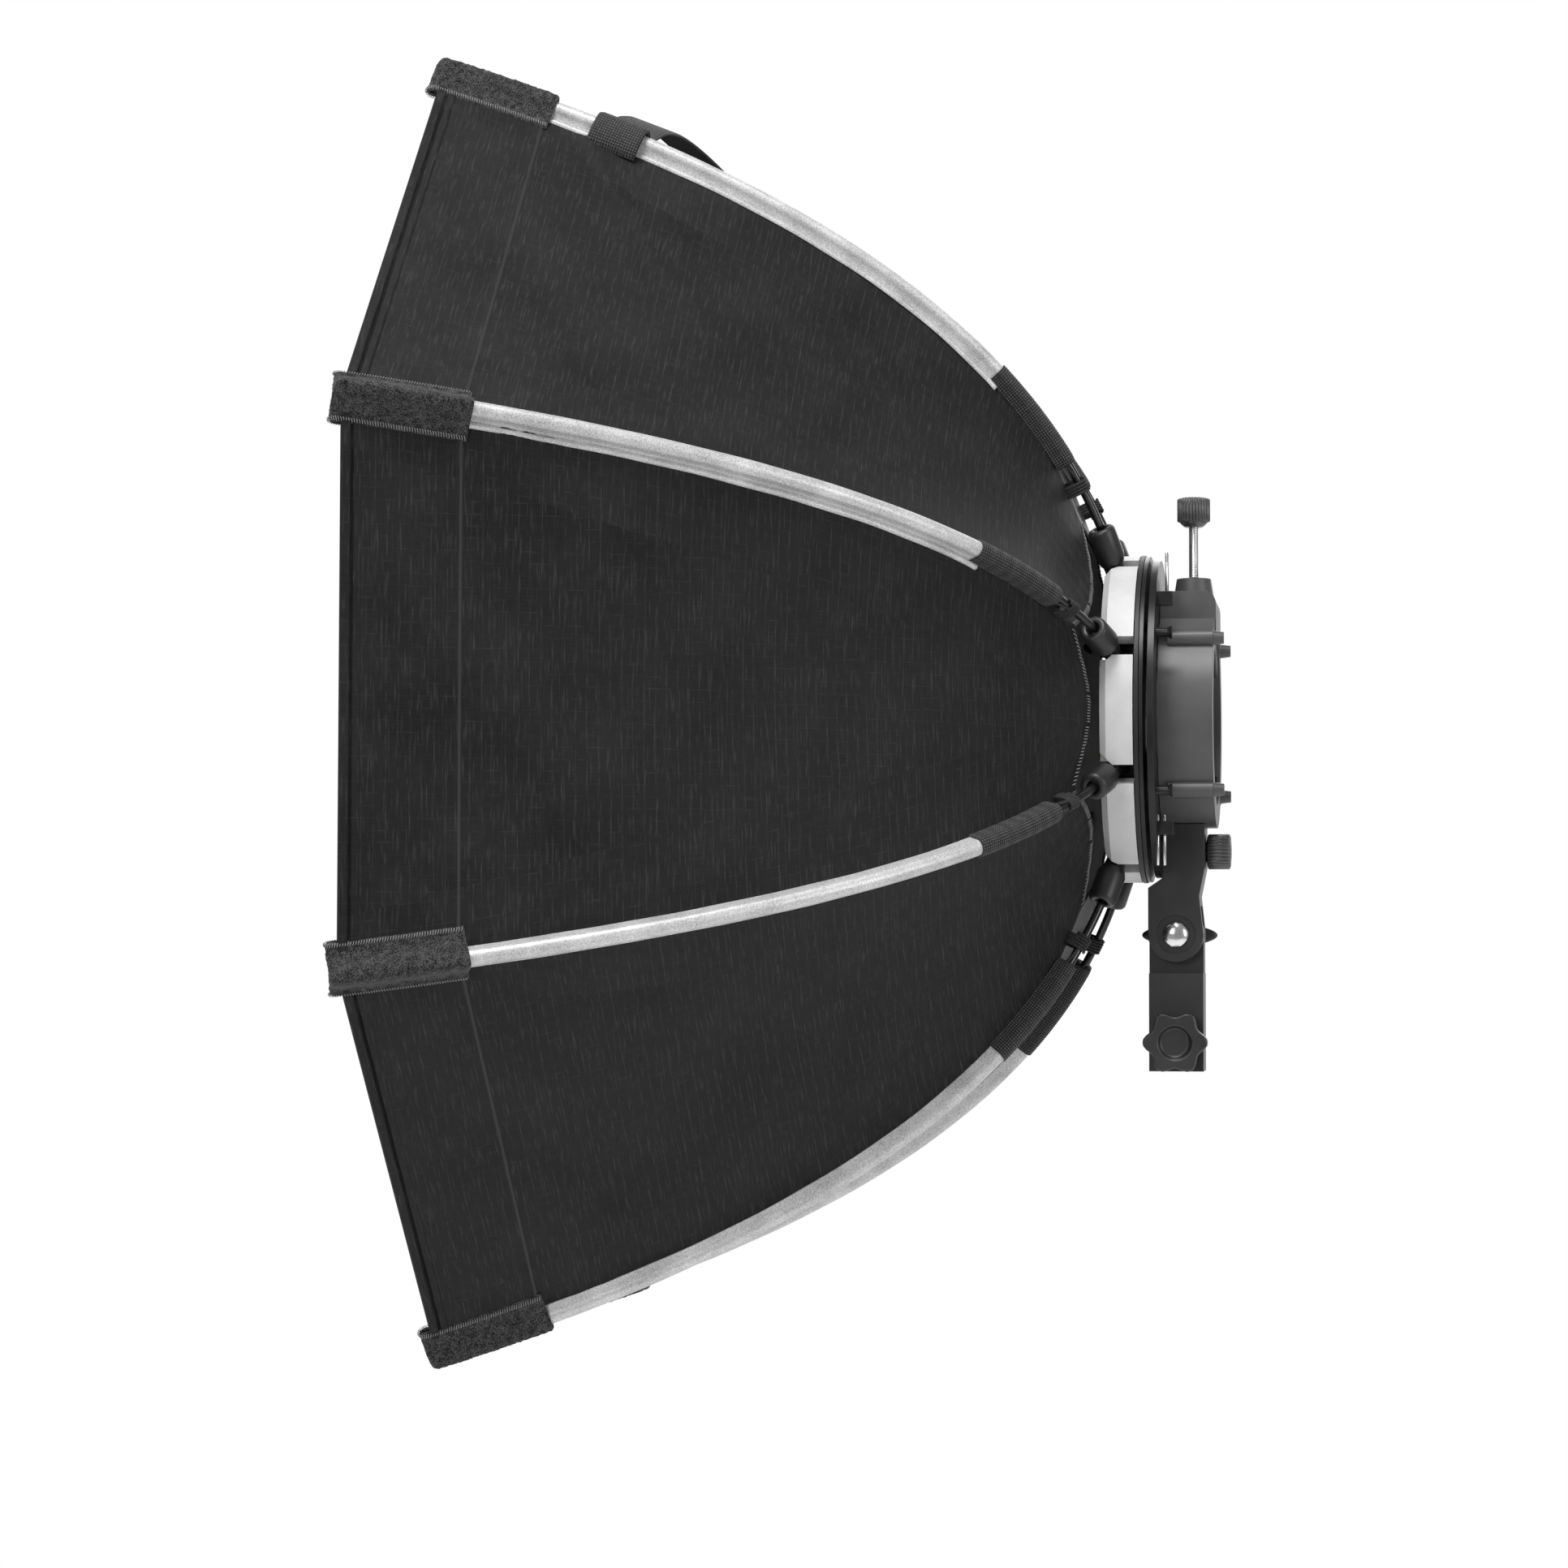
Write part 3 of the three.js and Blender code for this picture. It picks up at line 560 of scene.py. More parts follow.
def cover_surface(n, t, u):
    """Points and outward normals on gore n, for shares t along the ribs and u from rib to rib."""
    angle = gore_angle(n)

    def bare(t):
        line = cover_line(t)
        half = line[..., 0] * math.sin(HALF_STEP)
        inside = (t - COVER_START) / (1 - COVER_START)
        sag = 6.5 * MM * np.sin(math.pi * np.clip(inside, 0, 1)) ** 0.9 * (1 - u * u)
        return line[..., 0] * math.cos(HALF_STEP), line[..., 1], half, sag

    step = 1e-4
    radius, y, half, sag = bare(t)
    radius_before, y_before, _, _ = bare(t - step)
    radius_after, y_after, _, _ = bare(t + step)
    slope = unit(np.stack([-(y_after - y_before), radius_after - radius_before], axis=-1))
    lift = cloth_relief(n, t, u, half) - sag + stitched_edge(RIB_LENGTH - length_at(t))
    points = placed(angle, radius + slope[..., 0] * lift, u * half, y + slope[..., 1] * lift)
    normals = placed(angle, slope[..., 0], 0 * u, slope[..., 1]) - np.array(HUB)
    return points, normals, half


def rib_panel_width(t):
    """Half of the strip of cover that stays with a rib when the ribs fold."""
    meeting_gap = 3 * MM
    folded = folded_radius(rib_point(t) - rib_outward(t) * FABRIC_OFFSET)
    share = math.sin(HALF_STEP) ** 2 * math.cos(RIB_FOLD) + math.cos(HALF_STEP) ** 2
    return (folded * math.sin(HALF_STEP) - meeting_gap) / share


def cover_stations():
    """Shares along the rib: close together at the rim's binding and at the band's seam."""
    rim = np.arange(0, 11, 0.45) * MM
    band = np.arange(11, 49, 3.5) * MM
    seam = np.arange(49.5, 60, 0.5) * MM
    rest = np.arange(61 * MM, RIB_LENGTH - length_at(COVER_START) - 16 * MM, 3.2 * MM)
    neck = RIB_LENGTH - length_at(COVER_START) - np.arange(15, -0.1, -1.0) * MM
    return t_from_rim(np.concatenate([rim, band, seam, rest, neck]))


STATIONS = cover_stations()
SPLIT = 1 - rib_panel_width(STATIONS) / (cover_line(STATIONS)[:, 0] * math.sin(HALF_STEP))


def cloth_t(station, u):
    """The share along the rib at a station: the neck reaches nearer the hub between the ribs."""
    near_neck = smoothstep((0.29 - station) / (0.29 - COVER_START))
    return station - NECK_REACH * (1 - u * u) * near_neck


def shell_from_grid(name, outer, inner, uv, materials, inner_kinds=None):
    """A closed thin shell: outer face, inner face and its rim, from two grids of points."""
    rows, columns = outer.shape[:2]
    inner_kinds = np.zeros(rows, int) if inner_kinds is None else inner_kinds
    count = rows * columns
    vertices = np.concatenate([outer.reshape(-1, 3), inner.reshape(-1, 3)])
    faces = []
    kinds = []
    for r in range(rows - 1):
        for c in range(columns - 1):
            a = r * columns + c
            faces.append((a, a + 1, a + 1 + columns, a + columns))
            kinds.append(0)
            faces.append((count + a, count + a + columns, count + a + 1 + columns, count + a + 1))
            kinds.append(int(inner_kinds[r]))
    around = [(0, c) for c in range(columns)] + [(r, columns - 1) for r in range(1, rows)]
    around += [(rows - 1, c) for c in range(columns - 2, -1, -1)] + [(r, 0) for r in range(rows - 2, 0, -1)]
    loop = [r * columns + c for r, c in around]
    for a, b in zip(loop, loop[1:] + loop[:1]):
        faces.append((b, a, count + a, count + b))
        kinds.append(0)
    obj = fix_normals(new_object(name, vertices, faces, materials, face_materials=kinds, uvs=[uv, uv]))
    obj.data.set_sharp_from_angle(angle=math.radians(60))
    return obj


COVER_CLOTHS = [RIPSTOP, LINING, BINDING]
LIP_WIDTH = RIB_LENGTH - length_at(t_at_y(DIFFUSER_Y)) + 6 * MM
LIP_ROWS = np.where(RIB_LENGTH - length_at(STATIONS) < LIP_WIDTH, 2, 1)


def cover_shell(name, points, normals, uv):
    inner = points - normals * FABRIC_THICKNESS
    return shell_from_grid(name, points, inner, uv, COVER_CLOTHS, LIP_ROWS)


def gore_piece(n):
    u = SPLIT[:, None] * np.linspace(-1, 1, 45)[None, :]
    t = cloth_t(STATIONS[:, None], u)
    points, normals, half = cover_surface(n, t, u)
    uv = np.stack([u * half, length_at(t)], axis=-1)
    obj = cover_shell(f"cover_gore_{n}", points, normals, uv)
    belongs(obj, f"gore_{n}", "black_ripstop", f"gore_{n}")
    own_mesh(obj)
    return obj


def strip_piece(n):
    """The strip of cover on rib n: the near edges of the gores on its two sides."""
    columns = 12
    share = np.linspace(0, 1, columns + 1)
    before = n - 1 or SIDES
    low = SPLIT[:, None] + (1 - SPLIT[:, None]) * share[None, :]
    t = cloth_t(STATIONS[:, None], low)
    first, first_normals, half = cover_surface(before, t, low)
    second, second_normals, _ = cover_surface(n, t[:, ::-1], -low[:, ::-1])
    points = np.concatenate([first[:, :-1], second], axis=1)
    normals = np.concatenate([first_normals[:, :-1], second_normals], axis=1)
    normals[:, columns] = unit(first_normals[:, -1] + second_normals[:, 0])
    reach = np.concatenate([(low - 1)[:, :-1], (1 - low)[:, ::-1]], axis=1) * half[:, :1]
    uv = np.stack([reach, np.repeat(length_at(STATIONS)[:, None], 2 * columns + 1, axis=1)], axis=-1)
    obj = cover_shell(f"cover_strip_{n}", points, normals, uv)
    belongs(obj, f"rib_{n}", "black_ripstop", f"rib_panel_{n}")
    return obj


# ---- what lies along a rib
def beside_rib(n, t, side, height):
    """Points off rib n: side is along the hub's tangent, height is out of the cover."""
    t = np.asarray(t, float)
    place = rib_point(t) + rib_outward(t) * np.asarray(height)[..., None]
    return placed(rib_angle(n), place[..., 0], side, place[..., 1])


def fabric_height(side):
    return -FABRIC_OFFSET - np.abs(side) * math.tan(HALF_STEP)


def along_rib(n, name, t_values, section, materials, scale=None):
    """A closed skin whose ring at each t is the (side, height) outline, times scale(t)."""
    outline = np.array(section)
    t_values = np.asarray(t_values)
    factors = np.ones((len(t_values), 1)) if scale is None else scale(t_values)[:, None]
    side = outline[None, :, 0] * factors
    height = outline[None, :, 1] * factors
    rings = beside_rib(n, np.repeat(t_values[:, None], len(outline), axis=1), side, height)
    steps = np.linalg.norm(np.diff(outline, axis=0, append=outline[:1]), axis=1)
    round_way = np.concatenate([[0], np.cumsum(steps)[:-1]])
    uv = np.stack(np.broadcast_arrays(round_way[None, :], length_at(t_values)[:, None]), axis=-1)
    return loft(name, rings, materials, uvs=uv)


def tube_outline(half_width, top, wall_foot, flange=0.0, points=15):
    """A half tube standing on the cover; the seam's flange lies on one side of it."""
    outline = []
    low = flange or half_width
    if flange:
        lifts = [(flange, 0.1), (flange - 0.3 * MM, 1.3)]
        lifts += [(half_width + 1.0 * MM, 1.3), (half_width + 0.55 * MM, 0.2)]
        outline += [(-side, fabric_height(side) + lift * MM) for side, lift in lifts]
    outline.append((-half_width, fabric_height(half_width) + wall_foot))
    for angle in np.linspace(math.radians(190), math.radians(-10), points):
        outline.append((half_width * math.cos(angle), top * math.sin(angle) - 0.2 * MM))
    outline.append((half_width, fabric_height(half_width) + wall_foot))
    outline.append((half_width, fabric_height(half_width) - 0.05 * MM))
    outline.append((0, fabric_height(0) - 0.05 * MM))
    outline.append((-low, fabric_height(low) - 0.05 * MM))
    return outline


SLEEVE_END = t_at_radius(171 * MM)
WEBBING_END = t_at_radius(129 * MM)
LASHING_PLACE = t_at_radius(115 * MM)


def grey_sleeve_piece(n):
    t_values = np.linspace(t_from_rim(PAD_LENGTH - 4 * MM), SLEEVE_END, 110)
    phase = random.Random(300 + n).uniform(0, 6)

    def breathing(t):
        length = length_at(t)
        hem = 0.03 * np.exp(-(length - length_at(SLEEVE_END)) / (2.5 * MM))
        return 1 + 0.012 * np.sin(length * 150 + phase) + 0.01 * np.sin(length * 61) + hem

    outline = tube_outline(3.7 * MM, 3.5 * MM, 0.4 * MM, flange=6.3 * MM)
    return along_rib(n, f"rib_sleeve_{n}", t_values, outline, [SLEEVE], breathing)


def webbing_sleeve_piece(n):
    first = length_at(WEBBING_END)
    lengths = np.arange(first, length_at(SLEEVE_END) + 5 * MM, 0.32 * MM)

    def ribbing(t):
        length = length_at(t)
        pick = 0.045 * np.abs(np.sin(math.pi * length / (1.5 * MM)))
        ends = 0.12 * np.exp(-(length - first) / (1.2 * MM))
        return 1 + pick - ends

    outline = tube_outline(4.6 * MM, 4.2 * MM, 0.2 * MM, points=17)
    return along_rib(n, f"webbing_sleeve_{n}", t_at_length(lengths), outline, [WEBBING], ribbing)


def cord_tube(name, path, radius):
    """A closed round cord along a list of points."""
    path = np.asarray(path, float)
    along = unit(np.gradient(path, axis=0))
    rings = []
    side = np.array(Vector(along[0]).orthogonal().normalized())
    for point, direction in zip(path, along):
        side = side - direction * side.dot(direction)
        side /= np.linalg.norm(side)
        up = np.cross(direction, side)
        angles = np.linspace(0, 2 * math.pi, 8, endpoint=False)
        rings.append(point + radius * (np.outer(np.cos(angles), side) + np.outer(np.sin(angles), up)))
    return loft(name, rings, [BINDING])


def lashing_piece(n):
    """Four turns of elastic cord that tie the cover's neck to the rod, and the two tails."""
    turns = 4.3
    pitch = 1.55 * MM
    share = np.linspace(0, 1, 100)
    angles = share * turns * 2 * math.pi
    lengths = length_at(LASHING_PLACE) + share * turns * pitch
    side = 3.3 * MM * np.cos(angles)
    height = -3.4 * MM + 6.4 * MM * np.sin(angles)
    path = beside_rib(n, t_at_length(lengths), side, height)
    pieces = [cord_tube(f"lashing_{n}", path, 0.72 * MM)]
    for way in (-1, 1):
        share = np.linspace(0, 1, 14)
        lengths = length_at(LASHING_PLACE) + turns * pitch * 0.8 + share * 19 * MM
        side = way * (1.9 + 1.6 * np.sin(share * math.pi / 2)) * MM
        height = (0.6 - 2.6 * share) * MM
        tail = beside_rib(n, t_at_length(lengths), side, height)
        pieces.append(cord_tube(f"tail_{n}_{way}", tail, 0.75 * MM))
    return join(f"lashing_{n}", pieces)


def rod_piece(n):
    """The sprung rod and the moulded foot that turns in the hub."""
    hinge = rib_point(0.0)
    along = rib_point(COVER_START) - hinge
    along /= np.linalg.norm(along)
    t_values = np.linspace(t_at_radius(96 * MM), 1.0, 90)
    angles = np.linspace(0, 2 * math.pi, 16, endpoint=False)
    circle = ROD_RADIUS * np.stack([np.cos(angles), np.sin(angles)], axis=1)
    rod = along_rib(n, f"rod_{n}", t_values, circle, [BLACK_WIRE])
    angle = rib_angle(n)
    origin = placed(angle, hinge[0], 0.0, hinge[1])
    direction = placed(angle, along[0], 0.0, along[1]) - np.array(HUB)
    tangent = np.array(azimuth_axes(angle)[1])
    profile = [
        (14.5, 1.0), (14.5, 4.4), (16.2, 5.8), (18.5, 6.7), (19.8, 7.0), (32.2, 6.65), (33.2, 6.45),
        (33.9, 5.9), (34.2, 5.2), (34.2, 3.6), (33.8, 3.1), (32.5, 2.9), (29.0, 2.7), (29.0, 0.5),
    ]
    socket = lathe(f"socket_{n}", origin, direction, profile, [BLACK_PLASTIC], 40)
    up = np.cross(tangent, direction)
    blocks = ((-1, 2.6, 3.2), (0, 3.1, 4.2), (10, 3.1, 4.2), (15, 3.6, 4.8), (18, 4.6, 5.4))
    angles = np.linspace(0, 2 * math.pi, 24, endpoint=False)
    # A power below 1 squares the circle off into a block with rounded corners.
    c, s = (np.copysign(np.abs(v) ** 0.45, v)[:, None] for v in (np.cos(angles), np.sin(angles)))
    rings = [
        origin + direction * distance * MM + tangent * c * wide * MM + up * s * deep * MM
        for distance, wide, deep in blocks
    ]
    shank = loft(f"shank_{n}", rings, [BLACK_PLASTIC])
    eye_profile = [(-3.1, 4.6), (-2.7, 5.1), (2.7, 5.1), (3.1, 4.6)]
    eye = lathe(f"eye_{n}", origin, tangent, eye_profile, [BLACK_PLASTIC], 32)
    obj = join(f"rib_rod_{n}", [rod, socket, shank, eye])
    return belongs(obj, f"rib_{n}", "black_plastic", f"rib_{n}")


def stitch_bars(name, starts, ends, lifts, radius=0.2 * MM):
    """Short arched threads, one from each start to its end, raised by lifts in the middle."""
    vertices = []
    faces = []
    for start, end, lift in zip(np.asarray(starts), np.asarray(ends), np.asarray(lifts)):
        direction = (end - start) / np.linalg.norm(end - start)
        rise = np.linalg.norm(lift)
        up = lift / rise
        side = np.cross(direction, up)
        base = len(vertices)
        for share, height in ((0.0, -0.4), (0.2, 0.7), (0.8, 0.7), (1.0, -0.4)):
            middle = start + (end - start) * share + up * rise * height
            for a, b in ((1, 0), (0, 1), (-1, 0), (0, -1)):
                vertices.append(middle + side * a * radius + up * b * radius)
        faces += ring_faces(4, 4, base)
        faces.append((base + 3, base + 2, base + 1, base))
        faces.append((base + 12, base + 13, base + 14, base + 15))
    return fix_normals(new_object(name, vertices, faces, [THREAD]))


# ---- corner pads
PAD_HALF = 12.2 * MM


def pad_height(side):
    dome = 8.0 * MM * np.exp(-((np.abs(side) / (6.0 * MM)) ** 3))
    return fabric_height(side) + 1.9 * MM + dome


def pad_surface(n, way, across, outward):
    """The pad's face: way runs along the rib, round the rim's edge and back inside."""
    nose_length = 14 * MM
    nose_reach = 3.6 * MM
    inside_length = 17 * MM
    side = across * PAD_HALF
    top = pad_height(side) + outward
    under = fabric_height(side) - 2.6 * MM - outward
    total = PAD_LENGTH + nose_length + inside_length
    travelled = way * total
    outside_part = np.clip(travelled, 0, PAD_LENGTH)
    turn = np.clip((travelled - PAD_LENGTH) / nose_length, 0, 1) * math.pi
    back = np.clip(travelled - PAD_LENGTH - nose_length, 0, inside_length)
    t = t_from_rim(PAD_LENGTH - outside_part + back)
    middle = (top + under) / 2
    half = (top - under) / 2
    height = middle + half * np.cos(turn)
    forward = (nose_reach + outward) * np.sin(turn)
    place = rib_point(t) + rib_outward(t) * height[..., None] + rib_direction(t) * forward[..., None]
    return placed(rib_angle(n), place[..., 0], side, place[..., 1])


def pad_piece(n):
    rows, columns = 118, 46
    way = np.repeat(np.linspace(0, 1, rows)[:, None], columns, axis=1)
    across = np.repeat(np.linspace(-1, 1, columns)[None, :], rows, axis=0)
    noise = np.random.RandomState(200 + n)
    rough = noise.uniform(-1, 1, (rows, columns))
    rough = 0.55 * rough + 0.45 * (np.roll(rough, 1, 0) + np.roll(rough, 1, 1)) / 2
    edge = np.minimum(1 - np.abs(across), np.minimum(way, 1 - way) * 6)
    fuzz = 0.42 * MM * rough * smoothstep(edge / 0.08)
    rounded = -0.9 * MM * (1 - smoothstep(edge / 0.09))
    outer = pad_surface(n, way, across, fuzz + rounded)
    inner = pad_surface(n, way, across, -1.5 * MM)
    uv = np.stack([across * PAD_HALF, way * 0.1], axis=-1)
    pad = shell_from_grid(f"pad_{n}", outer, inner, uv, [PILE])
    ways = np.arange(0.01, 0.99, 0.013)

    def row(share, outward, shift=0.0):
        return pad_surface(n, ways + shift, np.full_like(ways, share), outward)

    starts, ends, lifts = [], [], []
    for side in (-1, 1):
        starts.append(row(side * 0.995, 0.0))
        ends.append(row(side * 0.87, 0.25 * MM, 0.008))
        lifts.append((row(side * 0.9, 0.9 * MM) - row(side * 0.9, 0.2 * MM)) * 0.8)
    rows = [np.concatenate(rows) for rows in (starts, ends, lifts)]
    return join(f"corner_pad_{n}", [pad, stitch_bars(f"pad_stitches_{n}", *rows)])


def neck_bars(n, name, share):
    """Overlock stitches over the cover's neck edge on gore n, at the given shares across it."""
    t = cloth_t(STATIONS[-1], share)
    inner_t = t_at_length(length_at(t) + 3.6 * MM)
    start, normals, _ = cover_surface(n, t, share)
    end, _, _ = cover_surface(n, inner_t, share + 0.008)
    return stitch_bars(name, start, end, normals * 0.5 * MM, 0.26 * MM)


def neck_hems(n):
    split = SPLIT[-1]
    shares = np.linspace(-0.95, 0.95, 48)
    centre = neck_bars(n, f"neck_hem_{n}", shares[np.abs(shares) < split - 0.01])
    belongs(centre, f"gore_{n}", "webbing")
    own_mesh(centre)
    before = neck_bars(n - 1 or SIDES, "before", shares[shares > split + 0.02])
    after = neck_bars(n, "after", shares[shares < -split - 0.02])
    belongs(join(f"neck_hem_rib_{n}", [before, after]), f"rib_{n}", "webbing")


# ---- diffuser
def diffuser_edge(n, u):
    """Distance from the axis to the diffuser's edge, just inside gore n's cloth."""
    station = t_at_y(DIFFUSER_Y) + np.zeros_like(u)
    points, _, _ = cover_surface(n, station, u)
    radial = np.array(azimuth_axes(gore_angle(n))[0])
    return (points - np.array(HUB)) @ radial - FABRIC_THICKNESS - 2.9 * MM


def diffuser_piece(n):
    rows, columns = 90, 49
    u = np.linspace(-1, 1, columns)[None, :]
    edge = diffuser_edge(n, u[0])[None, :]
    radial = edge * np.linspace(0.0012, 1, rows)[:, None]
    tangent_part = u * radial * math.tan(HALF_STEP)
    distance = np.hypot(radial, tangent_part)
    from_edge = edge - radial
    bulge = 3.0 * MM * np.cos(np.clip(distance / (edge.max() * 1.0824), 0, 1) * math.pi / 2)
    across = tangent_part * 2 * math.pi
    gather = np.sin(across / (13 * MM) + n) + 0.6 * np.sin(across / (21 * MM))
    gather = 0.55 * MM * gather * np.exp(-from_edge / (16 * MM)) * (1 - u**2)
    hem = 0.8 * MM * (1 - smoothstep((from_edge - 11 * MM) / (0.8 * MM)))
    row = -0.35 * MM * bump(from_edge, 9.3 * MM, 0.6 * MM)
    y = DIFFUSER_Y - bulge - gather - hem - row
    points = placed(gore_angle(n), radial + 0 * u, tangent_part, y)
    inner = points + np.array((0, 0.6 * MM, 0))
    uv = np.stack([tangent_part, radial + 0 * u], axis=-1)
    obj = shell_from_grid(f"diffuser_cloth_{n}", points, inner, uv, [DIFFUSER])
    belongs(obj, f"diffuser_{n}", "white_diffuser", f"diffuser_{n}")
    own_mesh(obj)
    return obj


# ---- carry handle
def through(points, count):
    """A smooth path of count points through the given ones (Catmull-Rom)."""
    points = np.asarray(points, float)
    padded = np.concatenate([2 * points[:1] - points[1:2], points, 2 * points[-1:] - points[-2:-1]])
    spans = len(points) - 1
    out = []
    for x in np.linspace(0, spans, count):
        i = min(int(x), spans - 1)
        f = x - i
        a, b, c, d = padded[i : i + 4]
        cubic = (3 * b - a - 3 * c + d) * f**3
        out.append(0.5 * (2 * b + (c - a) * f + (2 * a - 5 * b + 4 * c - d) * f**2 + cubic))
    return np.array(out)


def handle_frame():
    """The rib's point under the strap, the direction along the top gore there and its normal."""
    t = t_at_y(-237.5 * MM)
    line = rib_direction(t)
    lengthwise = np.array([line[0] * math.cos(HALF_STEP), line[1]])
    lengthwise /= np.linalg.norm(lengthwise)
    return rib_point(t), lengthwise, np.array([-lengthwise[1], lengthwise[0]])


def handle_rings():
    """Cross-sections of the webbing strap, from its end on rib 2 to its end on rib 3."""
    point, lengthwise, normal = handle_frame()
    rib_x = point[0] * math.sin(HALF_STEP)
    half_path = [
        (5.6, -10.5), (6.9, -7.4), (6.3, -2.0), (3.8, 3.6), (0, 5.8), (-4.4, 4.8), (-10, 3.2), (-18, 5.5),
        (-32, 11.5), (-52, 15.5), (-80, 17.5),
    ]
    right = [(rib_x + x * MM, h * MM) for x, h in half_path]
    path = right + [(0.0, 18 * MM)] + [(-x, h) for x, h in reversed(right)]
    path = through(path, 260)
    along = unit(np.gradient(path, axis=0))
    across = np.stack([-along[:, 1], along[:, 0]], axis=1)
    across *= np.sign(across[len(across) // 2, 1])
    outline = []
    for side in (1, -1):
        for share in side * np.linspace(-1, 1, 17):
            rounding = math.sqrt(1 - max(0.0, abs(share) - 0.93) ** 2 / 0.07**2 * 0.8)
            outline.append((share * STRAP_WIDTH / 2, side * STRAP_THICKNESS / 2 * rounding))
    lengths = np.concatenate([[0], np.cumsum(np.linalg.norm(np.diff(path, axis=0), axis=1))])
    rings = []
    uv = []
    for (x, h), out, travelled in zip(path, across, lengths):
        toward_hub = STRAP_SKEW * smoothstep((rib_x - x) / (2 * rib_x))
        ring = []
        for w, z in outline:
            height = h + out[1] * z
            radius = point[0] * math.cos(HALF_STEP) + normal[0] * height + lengthwise[0] * (w - toward_hub)
            y = point[1] + normal[1] * height + lengthwise[1] * (w - toward_hub)
            ring.append(placed(gore_angle(2), radius, -x - out[0] * z, y))
            uv.append((w, travelled))
        rings.append(ring)
    return path[:, 0], rib_x, np.array(rings), np.array(uv).reshape(len(path), -1, 2)


def handle_pieces():
    """The strap's two ends, wrapped over the sleeves of ribs 2 and 3, and the arch between."""
    x, rib_x, rings, uv = handle_rings()
    radial = np.array(azimuth_axes(gore_angle(2))[0])
    for n, side in ((2, 1), (3, -1)):
        chosen = side * x > rib_x - 9 * MM
        part = rings[chosen]
        row = 4 if side > 0 else len(part) - 7
        starts = np.concatenate([part[row][1:16], part[row + side * 4][1:16]])
        ends = np.concatenate([part[row + 2][1:16], part[row + side * 4 + 2][1:16]])
        lifts = np.repeat(0.5 * MM * radial[None, :], len(starts), axis=0)
        bars = stitch_bars(f"strap_stitches_{n}", starts, ends, lifts, 0.25 * MM)
        wrap = join(f"carry_strap_end_{n}", [loft(f"wrap_{n}", part, [WEBBING], uv[chosen]), bars])
        belongs(wrap, f"rib_{n}", "webbing")
    chosen = np.abs(x) < rib_x - 5 * MM
    centre = rings[chosen].mean(axis=1, keepdims=True)
    hidden = (np.abs(x[chosen]) > rib_x - 9.5 * MM)[:, None, None]
    part = np.where(hidden, centre + (rings[chosen] - centre) * 0.8, rings[chosen])
    arch = loft("carry_strap", part, [WEBBING], uv[chosen])
    belongs(arch, "gore_2", "webbing", "carry_handle")
    point = handle_frame()[0]
    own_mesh(arch)


# ---- moulded and metal parts
def refined(node, material, width, segments=3, angle=30):
    """A CAD node's own shape with its edges rounded and its round faces shaded smooth."""
    mesh = frame["nodes"][node].data.copy()
    mesh.materials.clear()
    mesh.materials.append(material)
    obj = bpy.data.objects.new(node + "_moulding", mesh)
    bpy.context.scene.collection.objects.link(obj)
    work = bmesh.new()
    work.from_mesh(mesh)
    bmesh.ops.remove_doubles(work, verts=work.verts, dist=1e-6)
    bmesh.ops.dissolve_limit(work, angle_limit=math.radians(1), verts=work.verts, edges=work.edges)
    for face in work.faces:
        face.material_index = 0
    work.to_mesh(mesh)
    work.free()
    if "custom_normal" in mesh.attributes:
        mesh.attributes.remove(mesh.attributes["custom_normal"])
    bevel = obj.modifiers.new("bevel", "BEVEL")
    bevel.width = width
    bevel.segments = segments
    bevel.limit_method = "ANGLE"
    bevel.angle_limit = math.radians(angle)
    mesh.polygons.foreach_set("use_smooth", [True] * len(mesh.polygons))
    obj.modifiers.new("normals", "WEIGHTED_NORMAL")
    bpy.context.view_layer.update()
    graph = bpy.context.evaluated_depsgraph_get()
    finished = bpy.data.meshes.new_from_object(obj.evaluated_get(graph))
    obj.modifiers.clear()
    obj.data = finished
    return belongs(obj, BODY_OF_NODE[node], SLOT_OF_NODE[node], node)


def from_hub(x, y, z):
    return HUB + Vector((x, y, z)) * MM


def knob(name, origin, direction, radius, length, teeth, node, collar):
    """A grip with teeth along it that fade at its chamfered ends."""
    edge = 0.9
    depth = 0.9 * MM
    profile = list(collar) + [
        (0, radius - edge - 0.9), (edge * 0.5, radius - edge * 0.5), (edge, radius),
        (length - edge, radius), (length - edge * 0.5, radius - edge * 0.5),
        (length, radius - edge - 0.9), (length + 0.01, radius * 0.55),
        (length - 0.5, radius * 0.5), (length - 0.5, 0.3),
    ]

    def toothed(distance, ring_radius, angles):
        on_grip = 0 <= distance <= length * MM and ring_radius > radius * MM - depth * 1.5
        return ring_radius - on_grip * depth * (1 - np.abs(np.sin(angles * teeth / 2)) ** 0.7)

    obj = lathe(name, origin, direction, profile, [LIT_KNOB_PLASTIC], teeth * 8, toothed)
    return belongs(obj, BODY_OF_NODE[node], "black_plastic", node)


def threaded_rod(name, origin, direction, radius=2.5 * MM, length=55 * MM, pitch=0.8 * MM):
    axes = axis_frame(direction)
    angles = np.linspace(0, 2 * math.pi, 24, endpoint=False)
    rings = []
    for distance in np.arange(0, length, pitch / 5):
        phase = (distance / pitch - angles / (2 * math.pi)) % 1.0
        radii = radius - 0.34 * MM * np.abs(2 * phase - 1) ** 1.4
        rings.append(axis_ring(origin, axes, distance, radii, angles))
    return loft(name, rings, [STEEL])


